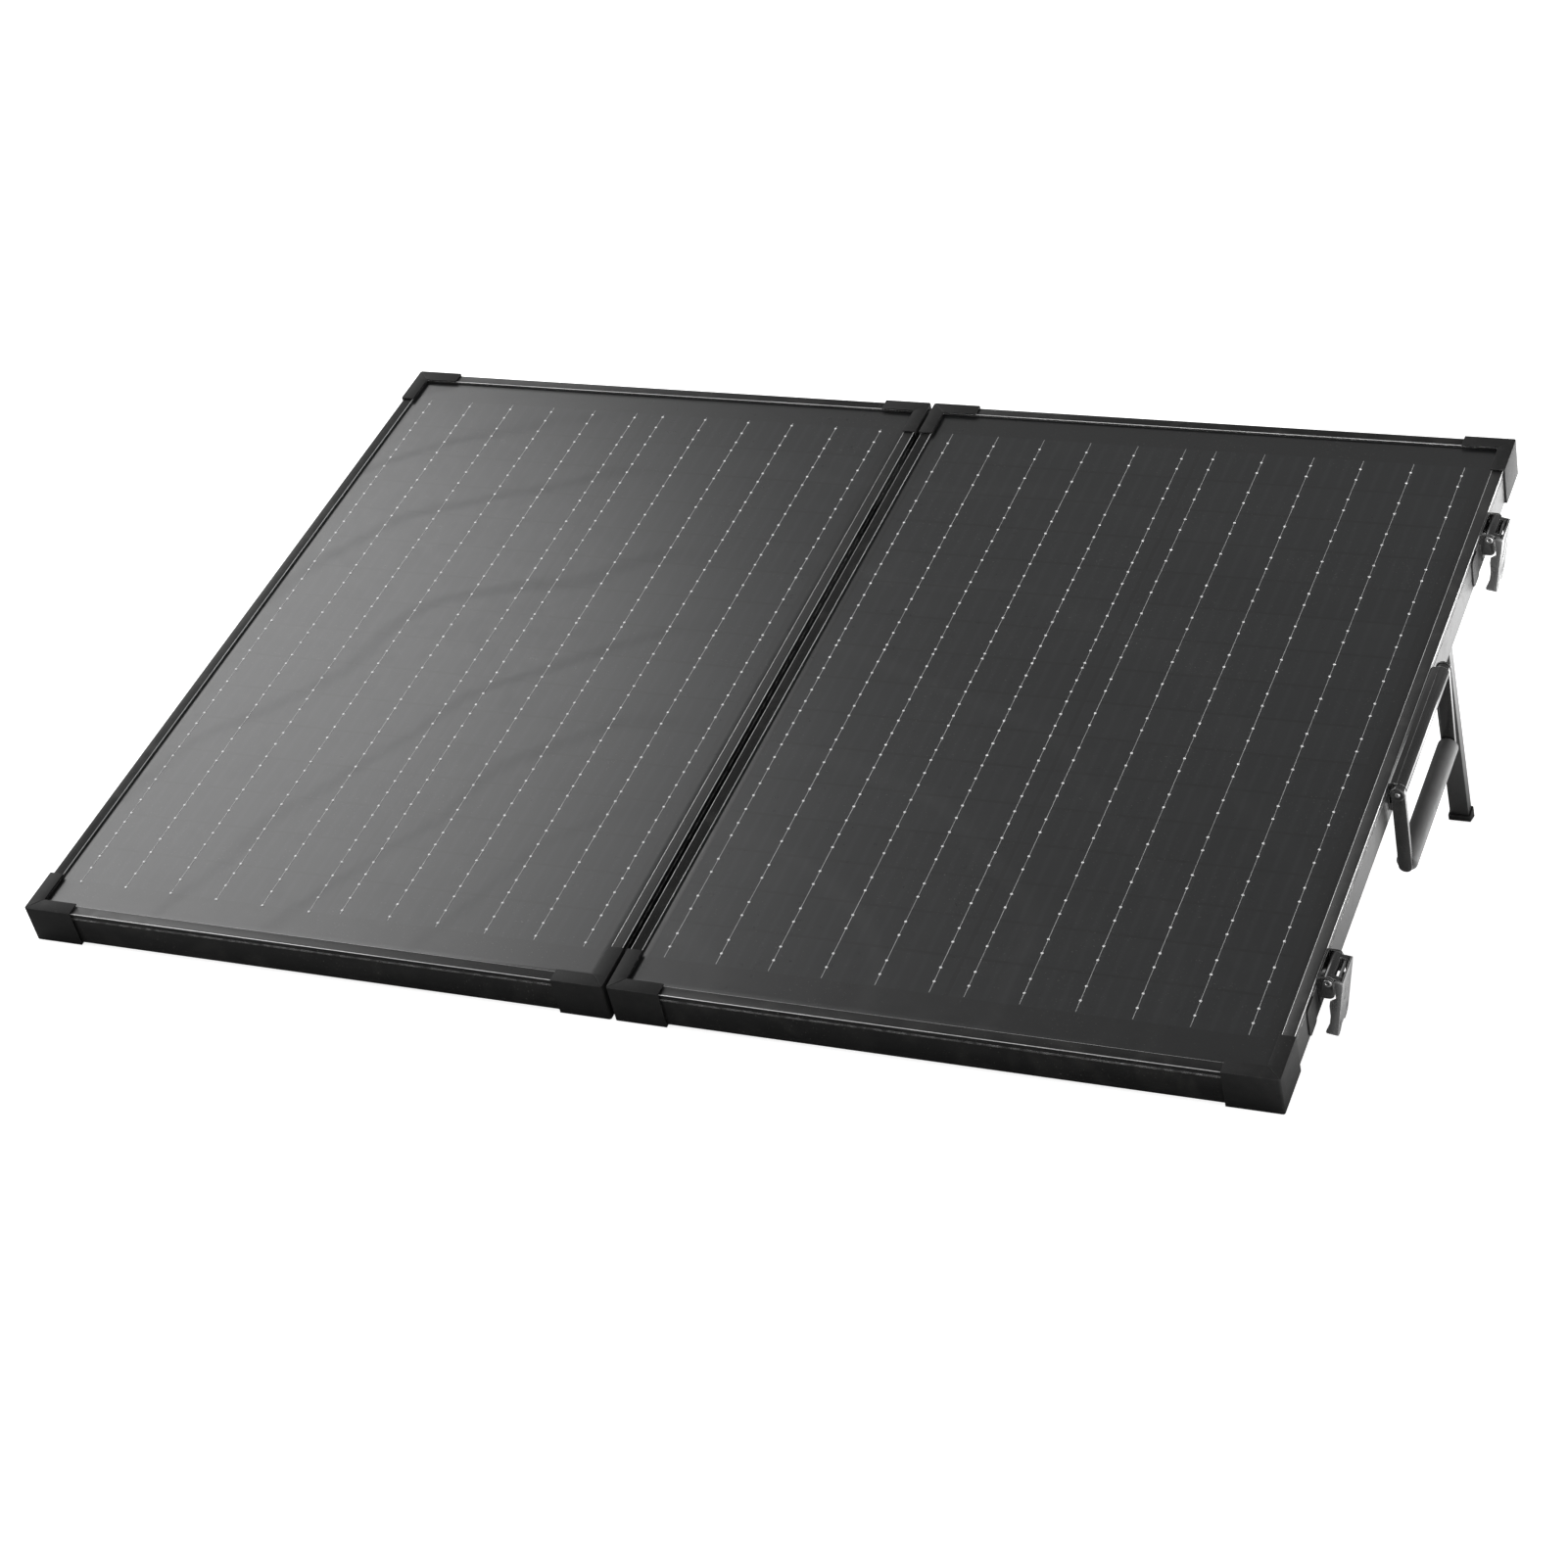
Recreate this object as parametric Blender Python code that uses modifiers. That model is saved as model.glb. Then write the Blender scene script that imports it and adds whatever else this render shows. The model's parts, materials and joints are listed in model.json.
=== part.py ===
"""A rigid two-panel solar suitcase, opened flat and propped on its legs.

Run it in Blender 4.5. Lengths are in metres and +Z is up. The kit is laid out flat first: X runs across
the two panels with the seam at 0, Y runs from the front edge to the back edge, and Z points out of the
glass, with 0 at the top of the aluminium frames. The last step tilts the whole kit back and stands it on
the origin.
"""

import math

import bmesh
import bpy
from mathutils import Matrix, Vector

# Aluminium frames, with the glass held between a lip and a shelf.
FRAME_WIDTH = 0.457
FRAME_LENGTH = 0.663
FRAME_DEPTH = 0.0275
SEAM_HALF_GAP = 0.003
WALL = 0.0016
LIP_WIDTH = 0.0085
LIP_THICK = 0.0015
SHELF_TOP = -0.0066
BACK_FLANGE = 0.018
GLASS_THICK = 0.0032
BACKSHEET_THICK = 0.0008
GAP = 0.0003
TILT = math.radians(20.8)

# Corner guards.
GUARD_WALL = 0.0012
GUARD_ARM = 0.0382
GUARD_BAND = 0.0109

# Fold hinges behind the seam.
FOLD_Z = -0.0295
HINGE_FROM_END = 0.112
HINGE_LENGTH = 0.042
LEAF_REACH = 0.020
LEAF_THICK = 0.0013
LEAF_TOP = 0.0017
KNUCKLE_RADIUS = 0.0026
HINGE_PIN_RADIUS = 0.0012

# Legs, each in a U bracket inside the outer rail.
LEG_PIVOT_Y = 0.464
LEG_PIVOT_Z = -0.016
LEG_INSET = 0.0108
LEG_WIDTH = 0.014
LEG_DEPTH = 0.009
LEG_WALL = 0.0012
LEG_LEAN = math.radians(5)
BRACKET_THICK = 0.0015
BRACKET_HALF_WIDTH = 0.0089
BRACKET_TOP = 0.0076
BRACKET_RADIUS = 0.007
BOLT_RADIUS = 0.0025
KNOB_RADIUS = 0.0077
KNOB_LOBE = 0.0007
KNOB_THICK = 0.0075
FOOT_WALL = 0.001
FOOT_SOLE = 0.0022
FOOT_HEIGHT = 0.0055
LEG_SLOT_FRONT = 0.258
LEG_SLOT_BACK = 0.490

# Carrying handle on the right panel's outer side.
HANDLE_Y = 0.337
HANDLE_PIVOT = (0.0082, -0.0015)
BAR_HALF = 0.0615
BAR_RADIUS = 0.0052
BAR_FOOT_LENGTH = 0.022
BAR_FOOT_SHEET = 0.002
BAR_FOOT_END = -0.0195
ARM_GAP = 0.0005
ARM_THICK = 0.0036
ARM_HALF_WIDTH = 0.0048
ARM_LENGTH = 0.066
GRIP_RADIUS = 0.0074
GRIP_ROD_RADIUS = 0.0024
PIVOT_PIN_RADIUS = 0.0020
PIVOT_CAP_RADIUS = 0.0054
PIVOT_PIN_REACH = 0.0175

# Draw latches near the ends of the same side, and their keepers on the left panel.
LATCH_FROM_END = 0.104
LATCH_HALF = 0.0135
LATCH_SHEET = 0.0015
EAR_REACH = 0.0110
EAR_BOTTOM = -0.016
BASE_BOTTOM = -0.022
BARREL_CENTER = (0.0072, -0.0018)
BARREL_RADIUS = 0.0037
BARREL_HALF = 0.0116
RIVET_RADIUS = 0.0017
LEVER_CENTER = (0.0134, -0.0024)
LEVER_TILT = math.radians(9)
LEVER_HALF = 0.0132
LEVER_SHEET = 0.0012
LEVER_FACE = 0.0036
LEVER_TOP = 0.0022
LEVER_END = -0.050
LEVER_PIN_RADIUS = 0.0011
KEEPER_Z = -0.014
KEEPER_WIDTH = 0.014

# Electrical boxes on the panels' backs.
BOX_WIDTH = 0.086
BOX_LENGTH = 0.062
BOX_HEIGHT = 0.0125
BOX_Y = 0.600
BOX_WALL = 0.0018
GLAND_RADIUS = 0.0045
GLAND_LENGTH = 0.011
CONTROLLER_WIDTH = 0.118
CONTROLLER_LENGTH = 0.078
CONTROLLER_HEIGHT = 0.0215
CONTROLLER_Y = 0.470
PLATE_THICK = 0.0015
BUTTON_RADIUS = 0.004

# Levels and edges that follow from the sizes above.
GUARD_PROUD = GUARD_WALL + GAP
GUARD_BOTTOM = -FRAME_DEPTH - GUARD_PROUD
INNER_X = SEAM_HALF_GAP
OUTER_X = SEAM_HALF_GAP + FRAME_WIDTH
MIDDLE_X = (INNER_X + OUTER_X) / 2
MIDDLE_Y = GUARD_PROUD + FRAME_LENGTH / 2
GLASS_TOP = -LIP_THICK - GAP
BACKSHEET_TOP = GLASS_TOP - GLASS_THICK - GAP
BACK_MOUNT_Z = BACKSHEET_TOP - BACKSHEET_THICK - GAP
ARM_INNER = BAR_HALF + ARM_GAP
LEVER_EDGE = 0.0021

for leftover in list(bpy.data.objects):
    bpy.data.objects.remove(leftover, do_unlink=True)

kit_parts = bpy.data.collections.new("solar_suitcase_kit")
cutters = bpy.data.collections.new("cutters")
bpy.context.scene.collection.children.link(kit_parts)
bpy.context.scene.collection.children.link(cutters)
cutters.hide_render = True

FINISHES = {
    # name: (colour, roughness, metallic)
    "black_anodised": ((0.020, 0.020, 0.021), 0.36, 0.85),
    "solar_glass": ((0.014, 0.015, 0.018), 0.20, 0.0),
    "backsheet_white": ((0.62, 0.63, 0.64), 0.55, 0.0),
    "guard_plastic": ((0.012, 0.012, 0.012), 0.48, 0.0),
    "hinge_steel": ((0.050, 0.050, 0.052), 0.34, 0.9),
    "leg_aluminium": ((0.030, 0.030, 0.032), 0.32, 0.85),
    "foot_rubber": ((0.015, 0.015, 0.015), 0.75, 0.0),
    "knob_plastic": ((0.014, 0.014, 0.014), 0.50, 0.0),
    "handle_plastic": ((0.016, 0.016, 0.016), 0.42, 0.0),
    "grip_rubber": ((0.018, 0.018, 0.018), 0.62, 0.0),
    "latch_steel": ((0.045, 0.045, 0.047), 0.30, 0.9),
    "rivet_steel": ((0.55, 0.55, 0.54), 0.25, 1.0),
    "box_plastic": ((0.022, 0.022, 0.023), 0.52, 0.0),
    "controller_face": ((0.050, 0.055, 0.062), 0.40, 0.0),
}


def finish(name):
    """The material of a finish, made the first time that a piece asks for it."""
    if name in bpy.data.materials:
        return bpy.data.materials[name]
    color, roughness, metallic = FINISHES[name]
    material = bpy.data.materials.new(name)
    material.use_nodes = True
    shader = material.node_tree.nodes["Principled BSDF"]
    shader.inputs["Base Color"].default_value = (*color, 1.0)
    shader.inputs["Roughness"].default_value = roughness
    shader.inputs["Metallic"].default_value = metallic
    return material


# Basic shapes. Each is made in its piece's own frame, at the place it has in the piece.


def new_object(name, mesh, material):
    mesh.materials.clear()
    mesh.materials.append(finish(material))
    obj = bpy.data.objects.new(name, mesh)
    kit_parts.objects.link(obj)
    return obj


def from_bmesh(name, work, material, smooth=False):
    mesh = bpy.data.meshes.new(name)
    work.to_mesh(mesh)
    work.free()
    if smooth:
        mesh.shade_smooth()
        mesh.set_sharp_from_angle(angle=math.radians(35))
    return new_object(name, mesh, material)


def box(name, low, high, material):
    """A box between two opposite corners."""
    low, high = Vector(low), Vector(high)
    work = bmesh.new()
    bmesh.ops.create_cube(work, size=1)
    bmesh.ops.scale(work, verts=work.verts, vec=high - low)
    bmesh.ops.translate(work, verts=work.verts, vec=(low + high) / 2)
    return from_bmesh(name, work, material)


AXIS_TURN = {
    "X": Matrix.Rotation(math.pi / 2, 4, "Y"),
    "Y": Matrix.Rotation(-math.pi / 2, 4, "X"),
    "Z": Matrix.Identity(4),
}


def rod(name, radius, start, end, axis, center, material, sides=20):
    """A cylinder along X, Y or Z, from start to end on that axis, with its centre line through center."""
    work = bmesh.new()
    bmesh.ops.create_cone(
        work, cap_ends=True, segments=sides, radius1=radius, radius2=radius, depth=end - start
    )
    bmesh.ops.translate(work, verts=work.verts, vec=(0, 0, (start + end) / 2))
    bmesh.ops.transform(work, verts=work.verts, matrix=Matrix.Translation(center) @ AXIS_TURN[axis])
    return from_bmesh(name, work, material, smooth=True)


def solid_mesh(obj, matrix, material, smooth=False):
    """Replaces a curve, or a mesh with modifiers, by a plain welded mesh object."""
    graph = bpy.context.evaluated_depsgraph_get()
    mesh = bpy.data.meshes.new_from_object(obj.evaluated_get(graph))
    name = obj.name
    bpy.data.objects.remove(obj)
    work = bmesh.new()
    work.from_mesh(mesh)
    bpy.data.meshes.remove(mesh)
    bmesh.ops.remove_doubles(work, verts=work.verts, dist=0.00001)
    bmesh.ops.transform(work, verts=work.verts, matrix=matrix)
    bmesh.ops.recalc_face_normals(work, faces=work.faces)
    return from_bmesh(name, work, material, smooth)


PLANE_TURN = {
    # An outline's own X and Y become these two axes, and its thickness runs along the third.
    "XY": Matrix.Identity(4),
    "XZ": Matrix.Rotation(math.pi / 2, 4, "X"),
    "YZ": Matrix.Rotation(math.pi / 2, 4, "Z") @ Matrix.Rotation(math.pi / 2, 4, "X"),
}


def plate(name, outlines, plane, center, thick, material, smooth=False):
    """A flat shape. The first outline is its edge and any others are holes.

    center is its place along its thickness.
    """
    curve = bpy.data.curves.new(name, "CURVE")
    curve.dimensions = "2D"
    curve.fill_mode = "BOTH"
    curve.extrude = thick / 2
    for outline in outlines:
        spline = curve.splines.new("POLY")
        spline.points.add(len(outline) - 1)
        for point, (across, along) in zip(spline.points, outline):
            point.co = (across, along, 0, 1)
        spline.use_cyclic_u = True
    obj = bpy.data.objects.new(name, curve)
    kit_parts.objects.link(obj)
    bpy.context.view_layer.update()
    offset = {"XY": (0, 0, center), "XZ": (0, center, 0), "YZ": (center, 0, 0)}[plane]
    return solid_mesh(obj, Matrix.Translation(offset) @ PLANE_TURN[plane], material, smooth)


def turned(name, profile, axis, material, ring=False, steps=20):
    """A turned piece. profile lists (radius, place along the axis) from the top of its outer side down."""
    mesh = bpy.data.meshes.new(name)
    edges = [(index, index + 1) for index in range(len(profile) - 1)]
    if ring:
        edges.append((len(profile) - 1, 0))
    mesh.from_pydata([(radius, 0, along) for radius, along in profile], edges, [])
    obj = new_object(name, mesh, material)
    spin = obj.modifiers.new("Spin", "SCREW")
    spin.steps = steps
    spin.render_steps = steps
    spin.use_merge_vertices = True
    spin.merge_threshold = 0.00001
    bpy.context.view_layer.update()
    return solid_mesh(obj, AXIS_TURN[axis], material, smooth=True)


def arc(center, radius, start, end, steps=8):
    """Points along a round stretch of an outline. Angles are in degrees."""
    angles = [math.radians(start + (end - start) * step / steps) for step in range(steps + 1)]
    return [(center[0] + radius * math.cos(a), center[1] + radius * math.sin(a)) for a in angles]


def slot_outline(center, half_width, half_height, radius):
    """A rectangle with round corners."""
    x, y = center
    right, top = x + half_width - radius, y + half_height - radius
    left, bottom = x - half_width + radius, y - half_height + radius
    return (
        arc((right, top), radius, 0, 90, 4)
        + arc((left, top), radius, 90, 180, 4)
        + arc((left, bottom), radius, 180, 270, 4)
        + arc((right, bottom), radius, 270, 360, 4)
    )


def combine(piece, operation, helpers):
    """Cuts helper shapes from a piece, joins them to it, or keeps what they share with it."""
    for helper in helpers:
        kit_parts.objects.unlink(helper)
        cutters.objects.link(helper)
        helper.parent = piece
        helper.hide_render = True
        helper.display_type = "WIRE"
        step = piece.modifiers.new(operation.title(), "BOOLEAN")
        step.operation = operation
        step.object = helper
    return piece


def soften(piece, width):
    """Chamfers a piece's sharp edges."""
    edge = piece.modifiers.new("Edges", "BEVEL")
    edge.width = width
    edge.segments = 1
    edge.limit_method = "ANGLE"
    edge.angle_limit = math.radians(40)
    return piece


# The tree of joints. Each empty sits on a joint's axis.


def empty(name, parent, location, turn=(0, 0, 0)):
    point = bpy.data.objects.new(name, None)
    point.empty_display_size = 0.02
    kit_parts.objects.link(point)
    return attach(point, parent, location, turn)


def attach(obj, parent, location=(0, 0, 0), turn=(0, 0, 0)):
    """Parents an object. Its place and turn are measured from its parent."""
    obj.parent = parent
    obj.location = location
    obj.rotation_euler = turn
    return obj


kit = empty("kit", None, (0, 0, 0))
panels = {
    "right": empty("right_panel", kit, (0, 0, 0)),
    "left": empty("fold_joint", kit, (0, 0, FOLD_Z)),
}
SIDES = (("right", 1), ("left", -1))


def on_panel(side, x, y, z):
    """A place on a panel, measured from its empty. X is the distance from the seam on either side."""
    return (x, y, z) if side == "right" else (-x, y, z - FOLD_Z)


# Frames, glass and corner guards.


def frame_rail(name, length, leg_slot=None):
    """A rail along X with its outer face at Y = 0, its inner edge towards +Y and both ends mitred."""
    outline = [
        (0, 0),
        (LIP_WIDTH, 0),
        (LIP_WIDTH, -LIP_THICK),
        (WALL, -LIP_THICK),
        (WALL, SHELF_TOP),
        (LIP_WIDTH, SHELF_TOP),
        (LIP_WIDTH, SHELF_TOP - LIP_THICK),
        (WALL, SHELF_TOP - LIP_THICK),
        (WALL, LIP_THICK - FRAME_DEPTH),
        (BACK_FLANGE, LIP_THICK - FRAME_DEPTH),
        (BACK_FLANGE, -FRAME_DEPTH),
        (0, -FRAME_DEPTH),
    ]
    rail = plate(name, [outline], "YZ", 0, length - GAP, "black_anodised")
    for vertex in rail.data.vertices:
        vertex.co.x -= math.copysign(vertex.co.y, vertex.co.x)
    if leg_slot:
        start, end = leg_slot
        slot = box(
            name + "_leg_slot",
            (start, WALL + GAP, -FRAME_DEPTH - WALL),
            (end, BACK_FLANGE + WALL, LIP_THICK - FRAME_DEPTH + GAP),
            "black_anodised",
        )
        combine(rail, "DIFFERENCE", [slot])
    return rail


def outer_leg_slot(side):
    """The stretch of an outer rail's back flange that the leg swings through, along the rail's own X."""
    front, back = LEG_SLOT_FRONT - MIDDLE_Y, LEG_SLOT_BACK - MIDDLE_Y
    return (front, back) if side == "right" else (-back, -front)


def panel_frame(side, sign):
    quarter = math.pi / 2
    parent = panels[side]
    front = frame_rail(f"{side}_front_rail", FRAME_WIDTH)
    attach(front, parent, on_panel(side, MIDDLE_X, GUARD_PROUD, 0))
    back = frame_rail(f"{side}_back_rail", FRAME_WIDTH)
    attach(back, parent, on_panel(side, MIDDLE_X, GUARD_PROUD + FRAME_LENGTH, 0), (0, 0, math.pi))
    outer = frame_rail(f"{side}_outer_rail", FRAME_LENGTH, outer_leg_slot(side))
    attach(outer, parent, on_panel(side, OUTER_X, MIDDLE_Y, 0), (0, 0, sign * quarter))
    inner = frame_rail(f"{side}_inner_rail", FRAME_LENGTH)
    attach(inner, parent, on_panel(side, INNER_X, MIDDLE_Y, 0), (0, 0, -sign * quarter))


def panel_sheet(name, top, thick, material):
    """A sheet that fills the frame, level with its top at a given height."""
    half_width = FRAME_WIDTH / 2 - WALL - GAP
    half_length = FRAME_LENGTH / 2 - WALL - GAP
    return box(name, (-half_width, -half_length, top - thick), (half_width, half_length, top), material)


def corner_guard(name):
    """A cap for the corner at the origin, with its arms along +X and +Y."""
    outline = [
        (0, 0),
        (GUARD_ARM, 0),
        (GUARD_ARM, GUARD_BAND),
        (GUARD_BAND, GUARD_BAND),
        (GUARD_BAND, GUARD_ARM),
        (0, GUARD_ARM),
    ]
    middle = (GUARD_PROUD + GUARD_BOTTOM) / 2
    guard = plate(name, [outline], "XY", middle, GUARD_PROUD - GUARD_BOTTOM, "guard_plastic")
    soften(guard, GUARD_WALL / 2)
    room = box(
        name + "_room",
        (GUARD_WALL, GUARD_WALL, -FRAME_DEPTH - GAP),
        (GUARD_ARM + GUARD_WALL, GUARD_ARM + GUARD_WALL, GAP),
        "guard_plastic",
    )
    return combine(guard, "DIFFERENCE", [room])


def panel_guards(side, sign):
    """Guards turn by quarters, so that each one's arms run along its two rails."""
    inner, outer = INNER_X - GUARD_PROUD, OUTER_X + GUARD_PROUD
    back = FRAME_LENGTH + 2 * GUARD_PROUD
    corners = [
        ("front_inner", inner, 0, 0 if sign > 0 else 1),
        ("front_outer", outer, 0, 1 if sign > 0 else 0),
        ("back_outer", outer, back, 2 if sign > 0 else 3),
        ("back_inner", inner, back, 3 if sign > 0 else 2),
    ]
    for corner, x, y, quarters in corners:
        guard = corner_guard(f"{side}_{corner}_guard")
        attach(guard, panels[side], on_panel(side, x, y, 0), (0, 0, quarters * math.pi / 2))


for side, sign in SIDES:
    panel_frame(side, sign)
    glass = panel_sheet(f"{side}_glass", GLASS_TOP, GLASS_THICK, "solar_glass")
    attach(glass, panels[side], on_panel(side, MIDDLE_X, MIDDLE_Y, 0))
    backsheet = panel_sheet(f"{side}_backsheet", BACKSHEET_TOP, BACKSHEET_THICK, "backsheet_white")
    attach(backsheet, panels[side], on_panel(side, MIDDLE_X, MIDDLE_Y, 0))
    panel_guards(side, sign)


# Fold hinges. Their knuckles are centred on the fold axis, just below the frames.


def hinge_leaf(name, knuckles):
    """A leaf with its plate towards +X and its knuckles along Y, between the given places."""
    half = HINGE_LENGTH / 2
    low, high = LEAF_TOP - LEAF_THICK, LEAF_TOP
    leaf = box(name, (KNUCKLE_RADIUS + 2 * GAP, -half, low), (LEAF_REACH, half, high), "hinge_steel")
    trim = GAP / 6
    for index, (start, end) in enumerate(knuckles):
        tab = box(
            f"{name}_tab_{index}",
            (KNUCKLE_RADIUS / 3, start + trim, low + trim),
            (KNUCKLE_RADIUS * 2, end - trim, high - trim),
            "hinge_steel",
        )
        barrel = rod(
            f"{name}_barrel_{index}", KNUCKLE_RADIUS, start, end, "Y", (0, 0, 0), "hinge_steel", 16
        )
        combine(leaf, "UNION", [tab, barrel])
    bore_radius = HINGE_PIN_RADIUS + GAP
    far = HINGE_LENGTH
    bore = rod(name + "_bore", bore_radius, -far, far, "Y", (0, 0, 0), "hinge_steel", 16)
    return combine(leaf, "DIFFERENCE", [bore])


def hinge_pin(name):
    half = HINGE_LENGTH / 2 + GAP
    head = half + HINGE_PIN_RADIUS / 2
    flare = HINGE_PIN_RADIUS * 1.8
    profile = [
        (0, head),
        (flare, head),
        (flare, half),
        (HINGE_PIN_RADIUS, half),
        (HINGE_PIN_RADIUS, -half),
        (flare, -half),
        (flare, -head),
        (0, -head),
    ]
    return turned(name, profile, "Y", "hinge_steel", steps=12)


def fold_hinge(place, y):
    half = HINGE_LENGTH / 2
    split = HINGE_LENGTH / 6
    ends = [(-half, -split - GAP / 2), (split + GAP / 2, half)]
    middle = [(GAP / 2 - split, split - GAP / 2)]
    right_leaf = hinge_leaf(f"{place}_hinge_right_leaf", ends)
    attach(right_leaf, panels["right"], (0, y, FOLD_Z))
    left_leaf = hinge_leaf(f"{place}_hinge_left_leaf", middle)
    attach(left_leaf, panels["left"], (0, y, 0), (0, 0, math.pi))
    attach(hinge_pin(f"{place}_hinge_pin"), panels["right"], (0, y, FOLD_Z))


fold_hinge("front", HINGE_FROM_END)
fold_hinge("back", FRAME_LENGTH + 2 * GUARD_PROUD - HINGE_FROM_END)


# Legs. The ground passes under the front guards' lower edge, and a sole is cut to meet it flat.

SOLE_SLOPE = TILT + LEG_LEAN
SOLE_DISTANCE = LEG_PIVOT_Y * math.sin(TILT) + (LEG_PIVOT_Z - GUARD_BOTTOM) * math.cos(TILT)


def sole_z(y):
    """The ground's height in a leg's own frame: its pivot is the origin and -Z runs down the leg."""
    return -(SOLE_DISTANCE + y * math.sin(SOLE_SLOPE)) / math.cos(SOLE_SLOPE)


FOOT_HALF = LEG_DEPTH / 2 + GAP + FOOT_WALL
FOOT_FLOOR = sole_z(-FOOT_HALF) + FOOT_SOLE
FOOT_TOP = sole_z(-FOOT_HALF) + FOOT_HEIGHT


def bolt_hole(name, material):
    reach = 2 * BRACKET_HALF_WIDTH
    return rod(name + "_bolt_hole", BOLT_RADIUS + GAP, -reach, reach, "X", (0, 0, 0), material, 16)


def leg_tube(name):
    """A rectangular tube, open at its lower end, with a round solid top on the pivot."""
    half = LEG_DEPTH / 2
    bottom = FOOT_FLOOR + GAP
    outline = [(-half, bottom), (half, bottom)] + arc((0, 0), half, 0, 180)
    tube = plate(name, [outline], "YZ", 0, LEG_WIDTH, "leg_aluminium")
    hollow = box(
        name + "_hollow",
        (LEG_WALL - LEG_WIDTH / 2, LEG_WALL - half, bottom - LEG_WALL),
        (LEG_WIDTH / 2 - LEG_WALL, half - LEG_WALL, -LEG_DEPTH),
        "leg_aluminium",
    )
    return combine(tube, "DIFFERENCE", [hollow, bolt_hole(name, "leg_aluminium")])


def leg_foot(name):
    outline = [
        (-FOOT_HALF, FOOT_TOP),
        (-FOOT_HALF, sole_z(-FOOT_HALF)),
        (FOOT_HALF, sole_z(FOOT_HALF)),
        (FOOT_HALF, FOOT_TOP),
    ]
    half_width = LEG_WIDTH / 2 + GAP + FOOT_WALL
    foot = plate(name, [outline], "YZ", 0, 2 * half_width, "foot_rubber")
    pocket = box(
        name + "_pocket",
        (FOOT_WALL - half_width, FOOT_WALL - FOOT_HALF, FOOT_FLOOR),
        (half_width - FOOT_WALL, FOOT_HALF - FOOT_WALL, FOOT_TOP + FOOT_WALL),
        "foot_rubber",
    )
    return combine(foot, "DIFFERENCE", [pocket])


def leg_bracket(name):
    """A U bracket over the pivot, open downwards, with a round-ended cheek on each side of the leg."""
    outline = [(BRACKET_RADIUS, BRACKET_TOP), (-BRACKET_RADIUS, BRACKET_TOP)]
    outline += arc((0, 0), BRACKET_RADIUS, 180, 360)
    bracket = plate(name, [outline], "YZ", 0, 2 * BRACKET_HALF_WIDTH, "hinge_steel")
    inside = BRACKET_HALF_WIDTH - BRACKET_THICK
    room = box(
        name + "_room",
        (-inside, -2 * BRACKET_RADIUS, -2 * BRACKET_RADIUS),
        (inside, 2 * BRACKET_RADIUS, BRACKET_TOP - BRACKET_THICK),
        "hinge_steel",
    )
    return combine(bracket, "DIFFERENCE", [room, bolt_hole(name, "hinge_steel")])


def thumb_screw(name):
    """A bolt along X through the bracket and the leg, with its lobed knob towards -X."""
    lobes = 6
    steps = 36
    outline = []
    for step in range(steps):
        angle = 2 * math.pi * step / steps
        radius = KNOB_RADIUS + KNOB_LOBE * math.cos(lobes * angle)
        outline.append((radius * math.cos(angle), radius * math.sin(angle)))
    knob_start = -BRACKET_HALF_WIDTH - 2 * GAP
    knob_middle = knob_start - KNOB_THICK / 2
    knob = plate(name, [outline], "YZ", knob_middle, KNOB_THICK, "knob_plastic", smooth=True)
    end = BRACKET_HALF_WIDTH - GAP
    bolt = rod(name + "_bolt", BOLT_RADIUS, knob_middle, end, "X", (0, 0, 0), "knob_plastic", 16)
    return combine(knob, "UNION", [bolt])


for side, sign in SIDES:
    pivot = on_panel(side, OUTER_X - LEG_INSET, LEG_PIVOT_Y, LEG_PIVOT_Z)
    attach(leg_bracket(f"{side}_leg_bracket"), panels[side], pivot)
    half_turn = 0 if sign > 0 else math.pi
    attach(thumb_screw(f"{side}_leg_thumb_screw"), panels[side], pivot, (0, 0, half_turn))
    leg_joint = empty(f"{side}_leg_joint", panels[side], pivot, (LEG_LEAN, 0, 0))
    attach(leg_tube(f"{side}_leg"), leg_joint)
    attach(leg_foot(f"{side}_leg_foot"), leg_joint)


# Carrying handle. Its pieces are made about the pivot line, which runs along Y.


def handle_base(name):
    """A round bar with a screwed foot at each end."""
    base = rod(name, BAR_RADIUS, -BAR_HALF, BAR_HALF, "Y", (0, 0, 0), "handle_plastic", 24)
    wall_x = GAP - HANDLE_PIVOT[0]
    sheet = BAR_FOOT_SHEET
    drop = BAR_FOOT_END
    outline = [
        (wall_x, BAR_RADIUS / 2),
        (0, BAR_RADIUS / 2),
        (BAR_RADIUS / 3, -BAR_RADIUS * 0.7),
        (wall_x + sheet * 1.4, -BAR_RADIUS * 1.3),
        (wall_x + sheet, -BAR_RADIUS * 1.8),
        (wall_x + sheet, drop),
        (wall_x, drop),
    ]
    feet = []
    for end, direction in (("front", -1), ("back", 1)):
        middle = direction * (BAR_HALF - BAR_FOOT_LENGTH / 2 - GAP)
        feet.append(
            plate(f"{name}_{end}_foot", [outline], "XZ", middle, BAR_FOOT_LENGTH, "handle_plastic")
        )
    combine(base, "UNION", feet)
    bores = []
    for end, direction in (("front", -1), ("back", 1)):
        deep = direction * (BAR_HALF - PIVOT_PIN_REACH + ARM_THICK)
        start, stop = sorted((deep, direction * 2 * BAR_HALF))
        radius = PIVOT_PIN_RADIUS + GAP
        bores.append(rod(f"{name}_{end}_bore", radius, start, stop, "Y", (0, 0, 0), "handle_plastic", 16))
    return combine(base, "DIFFERENCE", bores)


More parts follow.
